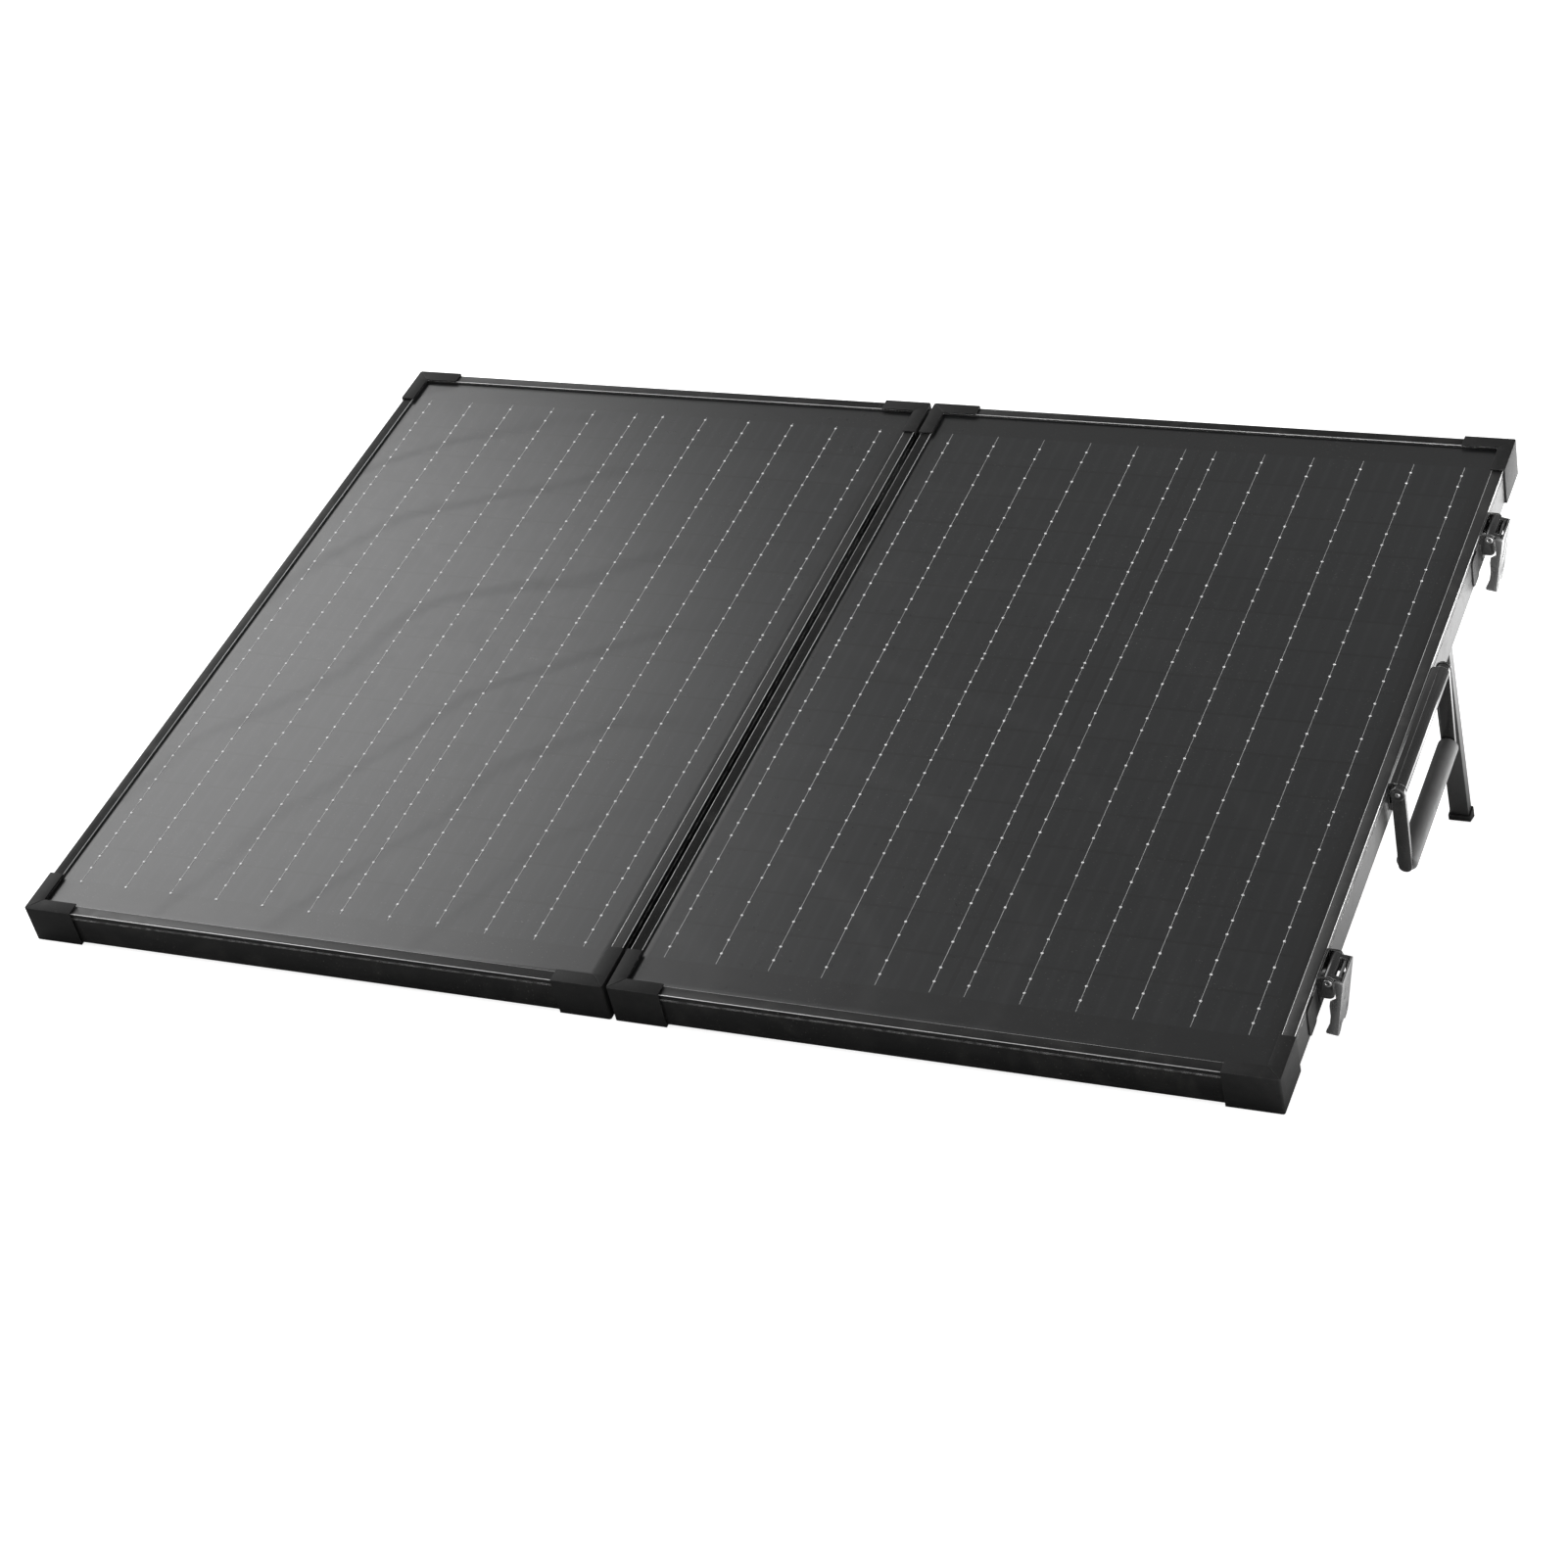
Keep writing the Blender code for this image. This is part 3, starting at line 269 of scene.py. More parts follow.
fine_share = calc(grain_group, "MULTIPLY", fine_noise, 0.35)
mixed_noise = calc(grain_group, "MULTIPLY_ADD", coarse_noise, 0.65, fine_share)
grain_group.links.new(remap(grain_group, mixed_noise, 0.30, 0.70), result["Shade"])
print("group:", grain_group.name)

# %% [markdown]
# Dust settles in patches of small specks, and hands and cloths leave soft smears. Both are noise that is
# cut off at a level, with a much larger noise deciding where it shows.

# %% The dust and smear group
dust_group, given, result = new_group(
    "dust and smears",
    [("Place", "vector", (0, 0, 0)), ("Specks", "value", 0.3), ("Smears", "value", 0.3)],
    ["Dust", "Smear"],
)
inputs = {"Vector": given["Place"], "Scale": 900.0, "Detail": 1.0}
speck_noise = add_node(dust_group, "TexNoise", inputs).outputs[0]
inputs = {"Vector": given["Place"], "Scale": 11.0, "Detail": 3.0}
patch_noise = add_node(dust_group, "TexNoise", inputs).outputs[0]
specks = remap(dust_group, speck_noise, 0.70, 0.76)
patches = remap(dust_group, patch_noise, 0.42, 0.66, 0.15, 1.0)
speck_share = calc(dust_group, "MULTIPLY", specks, patches)
dust_group.links.new(calc(dust_group, "MULTIPLY", speck_share, given["Specks"]), result["Dust"])
inputs = {"Vector": given["Place"], "Scale": 24.0, "Detail": 5.0, "Distortion": 1.6}
smear_noise = add_node(dust_group, "TexNoise", inputs).outputs[0]
smear_share = calc(dust_group, "MULTIPLY", remap(dust_group, smear_noise, 0.50, 0.78), given["Smears"])
dust_group.links.new(smear_share, result["Smear"])
print("group:", dust_group.name)

# %% [markdown]
# Black coatings rub thin along edges first, and edges also catch the light: this mask paints both, the wear and
# a painted highlight, in a paler edge tone. A Bevel node gives the surface direction that a rounded edge
# would have. Where that differs from the real direction there is an edge, and noise breaks up the mark.

# %% The edge wear and painted highlight group
wear_and_highlight_group, given, result = new_group(
    "edge wear and painted highlight",
    [("Place", "vector", (0, 0, 0)), ("Width", "value", 0.0006), ("Amount", "value", 0.3)],
    ["Mask"],
)
rounded = add_node(wear_and_highlight_group, "Bevel", {"Radius": given["Width"]}, samples=4).outputs[0]
surface = add_node(wear_and_highlight_group, "NewGeometry").outputs["Normal"]
inputs = {0: rounded, 1: surface}
likeness = add_node(wear_and_highlight_group, "VectorMath", inputs, operation="DOT_PRODUCT").outputs["Value"]
edge = remap(wear_and_highlight_group, likeness, 0.99, 0.86)
inputs = {"Vector": given["Place"], "Scale": 160.0, "Detail": 5.0}
edge_break_noise = add_node(wear_and_highlight_group, "TexNoise", inputs).outputs[0]
edge_break = remap(wear_and_highlight_group, edge_break_noise, 0.38, 0.62, 0.25, 1.0)
# The edge mask is partly wear and partly a painted highlight along the edges.
wear_and_highlight_share = calc(wear_and_highlight_group, "MULTIPLY", calc(wear_and_highlight_group, "MULTIPLY", edge, edge_break), given["Amount"])
wear_and_highlight_group.links.new(wear_and_highlight_share, result["Mask"])
print("group:", wear_and_highlight_group.name)

# %% [markdown]
# A finish is a material with the three effects in it. Its colour drifts with the grain, shows a paler tone on its
# edges, which is partly wear and partly a painted highlight, and is dulled by dust, and its roughness and bump
# follow the same patterns. Numbers that are the same all over stay on the shader's own sockets.

# %% Making a finish
DUST_COLOR = (0.30, 0.29, 0.27, 1.0)
RELIEF_DEPTH = 0.0002
COAT_ROUGHNESS = 0.12


def flat_place(tree):
    own = add_node(tree, "TexCoord").outputs["Object"]
    inputs = {"Vector": own, "Location": flat_origin, "Rotation": (TILT, 0, 0)}
    return add_node(tree, "Mapping", inputs, vector_type="TEXTURE").outputs[0]


def new_finish(
    name,
    dark,
    light,
    roughness,
    metallic=0.0,
    fineness=1500.0,
    stretch=(1, 1, 1),
    bump=0.15,
    worn_and_highlight_tone=0.25,
    wear_and_highlight=0.3,
    wear_and_highlight_width=0.0006,
    specks=0.25,
    smears=0.2,
    coat=0.0,
    shine=0.5,
):
    """A material between a dark and a light tone. The edge tone is the tone of its edges, partly rubbed and partly
    a painted highlight.
    """
    material = bpy.data.materials.new(name)
    material.use_nodes = True
    tree = material.node_tree
    shader = tree.nodes["Principled BSDF"]
    place = flat_place(tree)
    grain = use_group(tree, grain_group, {"Place": place, "Stretch": stretch, "Fineness": fineness})
    dirt = use_group(tree, dust_group, {"Place": place, "Specks": specks, "Smears": smears})
    edges = use_group(tree, wear_and_highlight_group, {"Place": place, "Width": wear_and_highlight_width, "Amount": wear_and_highlight})
    color = blend_colors(tree, grain["Shade"], dark, light)
    # The paler edge tone is partly wear and partly a painted highlight.
    color = blend_colors(tree, edges["Mask"], color, gray(worn_and_highlight_tone))
    color = blend_colors(tree, calc(tree, "MULTIPLY", dirt["Smear"], 0.10), color, DUST_COLOR)
    color = blend_colors(tree, dirt["Dust"], color, DUST_COLOR)
    tree.links.new(color, shader.inputs["Base Color"])
    gloss = remap(tree, grain["Shade"], 0.0, 1.0, roughness - 0.05, roughness + 0.05)
    gloss = calc(tree, "MULTIPLY_ADD", dirt["Smear"], 0.22, gloss)
    gloss = calc(tree, "MULTIPLY_ADD", dirt["Dust"], 0.30, gloss)
    tree.links.new(gloss, shader.inputs["Roughness"])
    inputs = {"Height": grain["Height"], "Strength": bump, "Distance": RELIEF_DEPTH}
    relief = add_node(tree, "Bump", inputs).outputs[0]
    tree.links.new(relief, shader.inputs["Normal"])
    shader.inputs["Metallic"].default_value = metallic
    shader.inputs["Specular IOR Level"].default_value = shine
    shader.inputs["Coat Weight"].default_value = coat
    shader.inputs["Coat Roughness"].default_value = COAT_ROUGHNESS
    return material


print("patterns are turned back by degrees:", round(math.degrees(TILT), 2))

# %% [markdown]
# The frames are extruded aluminium, brushed and then dyed black, so their fine lines run lengthways. That
# needs one finish for the rails that run across and others for those that run back, and the inner rails
# are duller than the handled outer ones. Their edges are painted pale, partly for metal rubbed bare and partly
# as a painted highlight where the edges catch the light, and the guards over their corners are dull black plastic.

# %% The rail and guard finishes
black = gray(0.010, 0.01)
soft_black = gray(0.018, 0.01)
anodised = {}
# The pale edge tone of these rails is partly wear and partly a painted highlight.
for which, stretch, roughness, shine in (
    ("across", (0.03, 1, 1), 0.38, 0.24),
    ("outer", (1, 0.03, 1), 0.34, 0.38),
    ("inner", (1, 0.03, 1), 0.50, 0.14),
):
    anodised[which] = new_finish(
        f"black anodised {which} rail",
        black,
        gray(0.022),
        roughness,
        metallic=0.15,
        fineness=1300.0,
        stretch=stretch,
        bump=0.10,
        worn_and_highlight_tone=0.85,
        wear_and_highlight=1.0,
        wear_and_highlight_width=0.0007,
        specks=0.5,
        smears=0.7,
        shine=shine,
    )
# The bare edge finish is partly bare metal and partly a painted highlight on the rounded edges.
bare_metal_and_highlight = new_finish(
    "bare rail edge and painted highlight",
    gray(0.60),
    gray(0.95),
    0.40,
    metallic=0.3,
    fineness=420.0,
    bump=0.05,
    wear_and_highlight=0.0,
    smears=0.6,
)
guard_plastic = new_finish(
    "moulded guard plastic",
    gray(0.016),
    gray(0.026),
    0.62,
    fineness=2600.0,
    bump=0.22,
    specks=0.2,
    shine=0.16,
)
print("finishes:", len(bpy.data.materials))

# %% [markdown]
# The fittings are steel. Most of it is plated or painted black, with a pale edge tone that is partly wear
# and partly a painted highlight. The levers are given a lighter gray as painted light, because their outer
# faces take the light from the right, and the pins, rivets and screws are bright. The legs are aluminium.

# %% The metal finishes
plain_steel = new_finish(
    "black plated steel", gray(0.035), gray(0.060), 0.30, metallic=0.7, bump=0.08, worn_and_highlight_tone=0.5, wear_and_highlight=0.6
)
latch_steel = new_finish(
    "black latch steel",
    gray(0.014),
    gray(0.035),
    0.24,
    metallic=0.45,
    fineness=900.0,
    bump=0.08,
    worn_and_highlight_tone=0.75,
    wear_and_highlight=1.0,
    wear_and_highlight_width=0.0005,
    smears=0.4,
    coat=0.4,
)
# A lighter copy of the latch steel: painted light on the levers' lit faces.
lit_lever_steel = new_finish(
    "lever steel lightened as painted light",
    gray(0.12),
    gray(0.22),
    0.26,
    metallic=0.7,
    fineness=700.0,
    stretch=(1, 1, 0.2),
    bump=0.08,
    worn_and_highlight_tone=0.95,
    wear_and_highlight=1.0,
    wear_and_highlight_width=0.0006,
    smears=0.5,
)
bright_steel = new_finish(
    "bright steel", gray(0.50), gray(0.66), 0.22, metallic=1.0, bump=0.05, worn_and_highlight_tone=0.8, wear_and_highlight=0.3, specks=0.15
)
leg_metal = new_finish(
    "dark leg aluminium",
    gray(0.030),
    gray(0.050),
    0.36,
    metallic=0.2,
    fineness=1100.0,
    stretch=(1, 1, 0.05),
    bump=0.10,
    worn_and_highlight_tone=0.35,
    wear_and_highlight=0.5,
    smears=0.4,
)
print("finishes:", len(bpy.data.materials))

# %% [markdown]
# Plastic and rubber differ in their skin. The handle's bar is smooth and glossy, the knobs and boxes have a
# fine pebble, and the grip and the feet are coarse and dull.

# %% The plastic and rubber finishes
rubber = new_finish("foot rubber", black, soft_black, 0.72, fineness=3200.0, bump=0.35, worn_and_highlight_tone=0.06, wear_and_highlight=0.4)
knob_plastic = new_finish("knob plastic", black, soft_black, 0.48, fineness=2800.0, bump=0.25, worn_and_highlight_tone=0.08)
# Its pale edge tone is partly wear and partly a painted highlight on the edges of the arms.
handle_plastic = new_finish(
    "handle plastic",
    gray(0.009),
    gray(0.018),
    0.18,
    fineness=700.0,
    bump=0.04,
    worn_and_highlight_tone=0.60,
    wear_and_highlight=0.95,
    specks=0.25,
    smears=0.3,
    coat=0.2,
)
grip_rubber = new_finish(
    "grip rubber", gray(0.085), gray(0.115), 0.60, fineness=2100.0, bump=0.45, worn_and_highlight_tone=0.06, specks=0.35
)
box_plastic = new_finish("box plastic", gray(0.016), gray(0.026), 0.50, fineness=2400.0, bump=0.30, worn_and_highlight_tone=0.08)
face_plate = new_finish(
    "controller face plate",
    gray(0.045, -0.12),
    gray(0.062, -0.12),
    0.40,
    fineness=2000.0,
    bump=0.12,
    worn_and_highlight_tone=0.2,
)
seal_rubber = new_finish("sealant", gray(0.006), gray(0.014), 0.55, fineness=1800.0, bump=0.2, wear_and_highlight=0.0)
print("finishes:", len(bpy.data.materials))

# %% [markdown]
# A finished piece keeps its object at the origin, with its place in its mesh. The next helpers work as
# hands do in the viewport. The first ones put in a box or a rod and choose faces or edges by where they are.

# %% Boxes, rods and choosing faces
body_of_node = {}
for body, members in frame["record"]["behaviour"]["bodies"].items():
    for member in members:
        body_of_node[member] = body


def work_on(obj):
    bpy.ops.object.select_all(action="DESELECT")
    obj.select_set(True)
    bpy.context.view_layer.objects.active = obj


def new_box(name, low, high):
    """A box between two opposite corners."""
    bpy.ops.object.select_all(action="DESELECT")
    low, high = Vector(low), Vector(high)
    bpy.ops.mesh.primitive_cube_add(size=1, location=(low + high) / 2, scale=high - low)
    bpy.context.object.name = name
    bpy.ops.object.transform_apply(location=True, rotation=True, scale=True)
    return bpy.context.object


def new_rod(name, radius, start, end, sides=32):
    """A round rod between two points."""
    bpy.ops.object.select_all(action="DESELECT")
    start, end = Vector(start), Vector(end)
    turn = (end - start).to_track_quat("Z", "Y").to_euler()
    middle = (start + end) / 2
    depth = (end - start).length
    bpy.ops.mesh.primitive_cylinder_add(
        vertices=sides, radius=radius, depth=depth, location=middle, rotation=turn
    )
    bpy.context.object.name = name
    bpy.ops.object.transform_apply(location=True, rotation=True, scale=True)
    return bpy.context.object


def edit(obj, kind="FACE", wanted=None):
    """Enters edit mode with only the wanted faces, edges or points selected, or with everything selected."""
    work_on(obj)
    bpy.ops.object.mode_set(mode="EDIT")
    bpy.ops.mesh.select_mode(type=kind)
    bpy.ops.mesh.select_all(action="SELECT" if wanted is None else "DESELECT")
    bpy.ops.object.mode_set(mode="OBJECT")
    if wanted and kind == "FACE":
        for face in obj.data.polygons:
            face.select = wanted(face.center, face.normal)
    elif wanted:
        points = obj.data.vertices
        for line in obj.data.edges:
            line.select = wanted(points[line.vertices[0]].co, points[line.vertices[1]].co)
    bpy.ops.object.mode_set(mode="EDIT")


def leave(obj):
    bpy.ops.object.mode_set(mode="OBJECT")
    return obj


# %% [markdown]
# Chosen faces are pulled out, planes cut all round, one shape is cut from another, and edges are rounded.
# A modifier is applied at once, so that the next step works on real faces. What repeats goes in a row.

# %% Pulling, cutting, rounding and repeating
SMOOTH_ANGLE = math.radians(38)


def pull(obj, wanted, offset):
    """Extrudes the wanted faces by an offset."""
    edit(obj, "FACE", wanted)
    bpy.ops.mesh.extrude_region_move(TRANSFORM_OT_translate={"value": offset})
    return leave(obj)


def slice_at(obj, place, normal, drop_outer=False):
    """Cuts all round an obj with a plane, and may remove what is beyond it."""
    edit(obj)
    bpy.ops.mesh.bisect(plane_co=place, plane_no=normal, use_fill=drop_outer, clear_outer=drop_outer)
    return leave(obj)


def combine(obj, other, operation="DIFFERENCE"):
    """Cuts another shape from an obj, or joins it on, and removes the other shape."""
    step = obj.modifiers.new("Combine", "BOOLEAN")
    step.operation = operation
    step.solver = "EXACT"
    step.object = other
    work_on(obj)
    bpy.ops.object.modifier_apply(modifier=step.name)
    bpy.data.objects.remove(other, do_unlink=True)
    return obj


def soften(obj, width, segments=2, angle=40, edge_slot=-1):
    """Rounds edges sharper than an angle. The new faces may take a material slot of their own."""
    step = obj.modifiers.new("Round edges", "BEVEL")
    step.width = width
    step.segments = segments
    step.material = edge_slot
    step.limit_method = "ANGLE"
    step.angle_limit = math.radians(angle)
    work_on(obj)
    bpy.ops.object.modifier_apply(modifier=step.name)
    bpy.ops.object.shade_smooth_by_angle(angle=SMOOTH_ANGLE)
    return obj


def repeat(obj, count, offset):
    """Copies an obj's mesh in a row, inside the same mesh."""
    step = obj.modifiers.new("Row", "ARRAY")
    step.count = count
    step.use_relative_offset = False
    step.use_constant_offset = True
    step.constant_offset_displace = offset
    work_on(obj)
    bpy.ops.object.modifier_apply(modifier=step.name)
    return obj


print("shading is smooth below degrees:", round(math.degrees(SMOOTH_ANGLE)))

# %% [markdown]
# The last helpers copy a piece, tilt its mesh into place, give it its finish, let it ride with a body, and
# hide the measured piece whose place it takes.

# %% Copying and finishing pieces
def copy_of(obj, name, matrix):
    made = bpy.data.objects.new(name, obj.data.copy())
    bpy.context.scene.collection.objects.link(made)
    made.data.transform(matrix)
    return made


def finish_piece(obj, finish, body, lies_flat=True):
    """Tilts a piece into place, gives it its finish, and lets it ride with a body."""
    if lies_flat:
        obj.data.transform(tilted)
    if obj.data.materials:
        obj.data.materials[0] = finish
    else:
        obj.data.materials.append(finish)
    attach(obj, body)
    return obj


def stand_for(obj, node_name, finish, lies_flat=True):
    """Finishes a piece that takes a measured piece's place."""
    finish_piece(obj, finish, body_of_node[node_name], lies_flat)
    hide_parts(node_name)
    return obj


print("finishes ready:", len(bpy.data.materials))

# %% [markdown]
# A frame rail is a thin upright wall with a lip over the glass, a shelf under it and a wide flange along
# the bottom. It is made as a wall that is sliced at those heights, whose slices are then pulled inwards.
# Both ends are cut at 45 degrees. The edges are rounded by a Bevel modifier that puts its new faces in a
# second slot, for bare metal and a painted highlight. A hairline groove runs along the outside, as extrusions
# often have.

# %% Frame rails
LIP_WIDTH = 0.0085
LIP_THICK = 0.0015
SHELF_TOP = -0.0066
WALL = 0.0016
FLANGE_WIDTH = 0.018
GROOVE_Z = -0.0046
GROOVE_HALF = 0.0004
GAP = 0.0003
RAIL_EDGE = 0.00036
rail_low, rail_high = flat_box("right_front_rail")
FRAME_DEPTH = rail_high.z - rail_low.z
FRAME_TOP = rail_high.z


def new_rail(name, length):
    """A rail along X, centred, with its outer face at Y = 0 and its top at Z = 0."""
    half = length / 2
    bottom = -FRAME_DEPTH
    rail = new_box(name, (-half, 0, bottom), (half, WALL, 0))
    for level in (-LIP_THICK, SHELF_TOP, SHELF_TOP - LIP_THICK, bottom + LIP_THICK):
        slice_at(rail, (0, 0, level), (0, 0, 1))
    for top, width in ((0, LIP_WIDTH), (SHELF_TOP, LIP_WIDTH), (bottom + LIP_THICK, FLANGE_WIDTH)):
        middle = top - LIP_THICK / 2

        def inner_band(center, normal):
            return normal.y > 0.9 and abs(center.z - middle) < LIP_THICK / 3

        pull(rail, inner_band, (0, width - WALL, 0))
    for end in (-1, 1):
        slice_at(rail, (end * half, 0, 0), (end, 1, 0), drop_outer=True)
    return rail


def bare_and_highlight_edges(rail):
    """Rounds a rail's edges, which are painted pale as bare metal and as a painted highlight, and cuts the groove
    along its outside.
    """
    rail.data.materials.append(anodised["across"])
    rail.data.materials.append(bare_metal_and_highlight)
    soften(rail, RAIL_EDGE, edge_slot=1)
    groove = new_box("groove", (-1, -GROOVE_HALF, -GROOVE_HALF), (1, GROOVE_HALF, GROOVE_HALF))
    groove.data.transform(Matrix.Translation((0, 0, GROOVE_Z)) @ Matrix.Rotation(math.pi / 4, 4, "X"))
    return combine(rail, groove)


short_rail = bare_and_highlight_edges(new_rail("short_rail", rail_high.x - rail_low.x))
side_low, side_high = flat_box("right_outer_rail")
long_rail = new_rail("long_rail", side_high.y - side_low.y)
print("rail faces:", len(short_rail.data.polygons), len(long_rail.data.polygons))

# %% [markdown]
# The outer rails' flanges are cut away where the legs swing through. The slot starts and ends at the same
# places on both panels, so the left rail's is cut from the other end.

# %% The leg slots and all eight rails
LEG_SLOT = (0.258, 0.490)
rail_middle_y = (side_low.y + side_high.y) / 2
slotted_rails = {}
for side, sign in (("right", 1), ("left", -1)):
    rail = copy_of(long_rail, f"{side}_slotted_rail", Matrix.Identity(4))
    ends = sorted(sign * (edge_y - rail_middle_y) for edge_y in LEG_SLOT)
    slot_low = (ends[0], WALL + GAP, -FRAME_DEPTH - WALL)
    slot_high = (ends[1], FLANGE_WIDTH + WALL, LIP_THICK - FRAME_DEPTH + GAP)
    slotted_rails[side] = bare_and_highlight_edges(combine(rail, new_box("slot", slot_low, slot_high)))
bare_and_highlight_edges(long_rail)
QUARTER = math.pi / 2
for side, sign in (("right", 1), ("left", -1)):
    rails = (
        ("front", short_rail, 0, "across"),
        ("back", short_rail, math.pi, "across"),
        ("outer", slotted_rails[side], sign * QUARTER, "outer"),
        ("inner", long_rail, -sign * QUARTER, "inner"),
    )
    for which, source, turn, direction in rails:
        node_name = f"{side}_{which}_rail"
        low, high = flat_box(node_name)
        middle = (low + high) / 2
        edge = {
            "front": (middle.x, low.y),
            "back": (middle.x, high.y),
            "outer": (high.x if sign > 0 else low.x, middle.y),
            "inner": (low.x if sign > 0 else high.x, middle.y),
        }[which]
        place = Matrix.Translation((*edge, FRAME_TOP)) @ Matrix.Rotation(turn, 4, "Z")
        stand_for(copy_of(source, f"{node_name}_profile", place), node_name, anodised[direction])
for source in (short_rail, long_rail, *slotted_rails.values()):
    bpy.data.objects.remove(source, do_unlink=True)

# %% [markdown]
# Corner guards are moulded caps that wrap the corner from outside and turn over the top. One is an arm
# whose side is pulled out into an L. Its inside is cut hollow, its outer corner is rounded and a fine
# groove marks the mitre, which the mould leaves on the top.

# %% Corner guards
guard_low, guard_high = flat_box("right_front_outer_guard")
GUARD_ARM = guard_high.x - guard_low.x
GUARD_BAND = 0.0109
GUARD_WALL = 0.0012
GUARD_CORNER = 0.0016
MITRE_HALF = 0.00022
guard = new_box("guard", (0, 0, guard_low.z), (GUARD_ARM, GUARD_BAND, guard_high.z))
slice_at(guard, (GUARD_BAND, 0, 0), (1, 0, 0))
second_arm = (0, GUARD_ARM - GUARD_BAND, 0)
pull(guard, lambda center, normal: normal.y > 0.9 and center.x < GUARD_BAND, second_arm)
room_low = (GUARD_WALL, GUARD_WALL, rail_low.z - GAP)
room_high = (GUARD_ARM + GUARD_WALL, GUARD_ARM + GUARD_WALL, rail_high.z + GAP)
combine(guard, new_box("room", room_low, room_high))
edit(guard, "EDGE", lambda one, two: max(one.x, one.y, two.x, two.y) < 0.0001)
bpy.ops.mesh.bevel(offset=GUARD_CORNER, segments=4, affect="EDGES")
leave(guard)
mitre_low = (-0.002, -MITRE_HALF, -MITRE_HALF)
mitre = new_box("mitre", mitre_low, (GUARD_BAND * 1.5, MITRE_HALF, MITRE_HALF))
mitre.data.transform(Matrix.Rotation(math.pi / 4, 4, "X"))
mitre.data.transform(Matrix.Translation((0, 0, guard_high.z)) @ Matrix.Rotation(math.pi / 4, 4, "Z"))
combine(guard, mitre)
soften(guard, 0.00035)
corners = {
    ("right", "front_inner"): 0,
    ("right", "front_outer"): 1,
    ("right", "back_outer"): 2,
    ("right", "back_inner"): 3,
    ("left", "front_outer"): 0,
    ("left", "front_inner"): 1,
    ("left", "back_inner"): 2,
    ("left", "back_outer"): 3,
}
for (side, corner), quarters in corners.items():
    node_name = f"{side}_{corner}_guard"
    low, high = flat_box(node_name)
    corner_x = high.x if quarters in (1, 2) else low.x
    corner_y = high.y if quarters in (2, 3) else low.y
    place = Matrix.Translation((corner_x, corner_y, 0)) @ Matrix.Rotation(quarters * QUARTER, 4, "Z")
    stand_for(copy_of(guard, f"{node_name}_cap", place), node_name, guard_plastic)
bpy.data.objects.remove(guard, do_unlink=True)
print("guards:", len(corners))

# %% [markdown]
# The panel face is one laminate: dark glass over two columns of cut cells. The cells show only as faint
# rows and stripes, so they are a pattern on the glass, drawn from a UV map that holds plain distances in
# metres from the panel's corner. The pattern is a node group that gives the strips, their stripes and tone.

# %% The cell pattern group
FIRST_LINE_X = 0.0267
LINE_PITCH = 0.03787
COLUMN_GAP_X = 0.2279
COLUMN_MIDDLE = 0.1066
CELL_HALF = 0.1050
ROW_START_Y = 0.0365
ROW_PITCH = 0.03735
STRIP_LENGTH = 0.0350
EDGE_BLUR = 0.0002
ROWS = 16
cell_group, given, result = new_group("cells", [("Place", "vector", (0, 0, 0))], ["Cell", "Stripe", "Tone"])
split = add_node(cell_group, "SeparateXYZ", {0: given["Place"]})
cell_x, cell_y = split.outputs[0], split.outputs[1]
from_gap = calc(cell_group, "ABSOLUTE", calc(cell_group, "SUBTRACT", cell_x, COLUMN_GAP_X))
from_middle = calc(cell_group, "ABSOLUTE", calc(cell_group, "SUBTRACT", from_gap, COLUMN_MIDDLE))
in_column = remap(cell_group, from_middle, CELL_HALF - EDGE_BLUR, CELL_HALF + EDGE_BLUR, 1.0, 0.0)
row = calc(cell_group, "DIVIDE", calc(cell_group, "SUBTRACT", cell_y, ROW_START_Y), ROW_PITCH)
up_row = calc(cell_group, "MULTIPLY", calc(cell_group, "FRACT", row), ROW_PITCH)
in_strip = remap(cell_group, up_row, STRIP_LENGTH - EDGE_BLUR, STRIP_LENGTH + EDGE_BLUR, 1.0, 0.0)
after_first = calc(cell_group, "GREATER_THAN", row, 0.0)
before_last = calc(cell_group, "LESS_THAN", row, float(ROWS))
in_rows = calc(cell_group, "MULTIPLY", in_strip, calc(cell_group, "MULTIPLY", after_first, before_last))
in_cell = calc(cell_group, "MULTIPLY", in_column, in_rows)
cell_group.links.new(in_cell, result["Cell"])
third = calc(cell_group, "DIVIDE", calc(cell_group, "SUBTRACT", cell_x, FIRST_LINE_X), LINE_PITCH / 3)
from_third = calc(cell_group, "ABSOLUTE", calc(cell_group, "SUBTRACT", calc(cell_group, "FRACT", third), 0.5))
stripe = calc(cell_group, "MULTIPLY", remap(cell_group, from_third, 0.30, 0.44), in_cell)
cell_group.links.new(stripe, result["Stripe"])
column_number = calc(cell_group, "GREATER_THAN", cell_x, COLUMN_GAP_X)
inputs = {0: column_number, 1: calc(cell_group, "FLOOR", row), 2: 0.0}
strip_number = add_node(cell_group, "CombineXYZ", inputs).outputs[0]
strip_tone = add_node(cell_group, "TexWhiteNoise", {0: strip_number}).outputs[0]
cell_group.links.new(strip_tone, result["Tone"])
print("group:", cell_group.name)

# %% [markdown]
# The glass itself has a very fine texture that softens reflections, a little dust, and faint wiping marks
# that run in long arcs. Its roughness is what turns the soft light's reflection into a gradient.

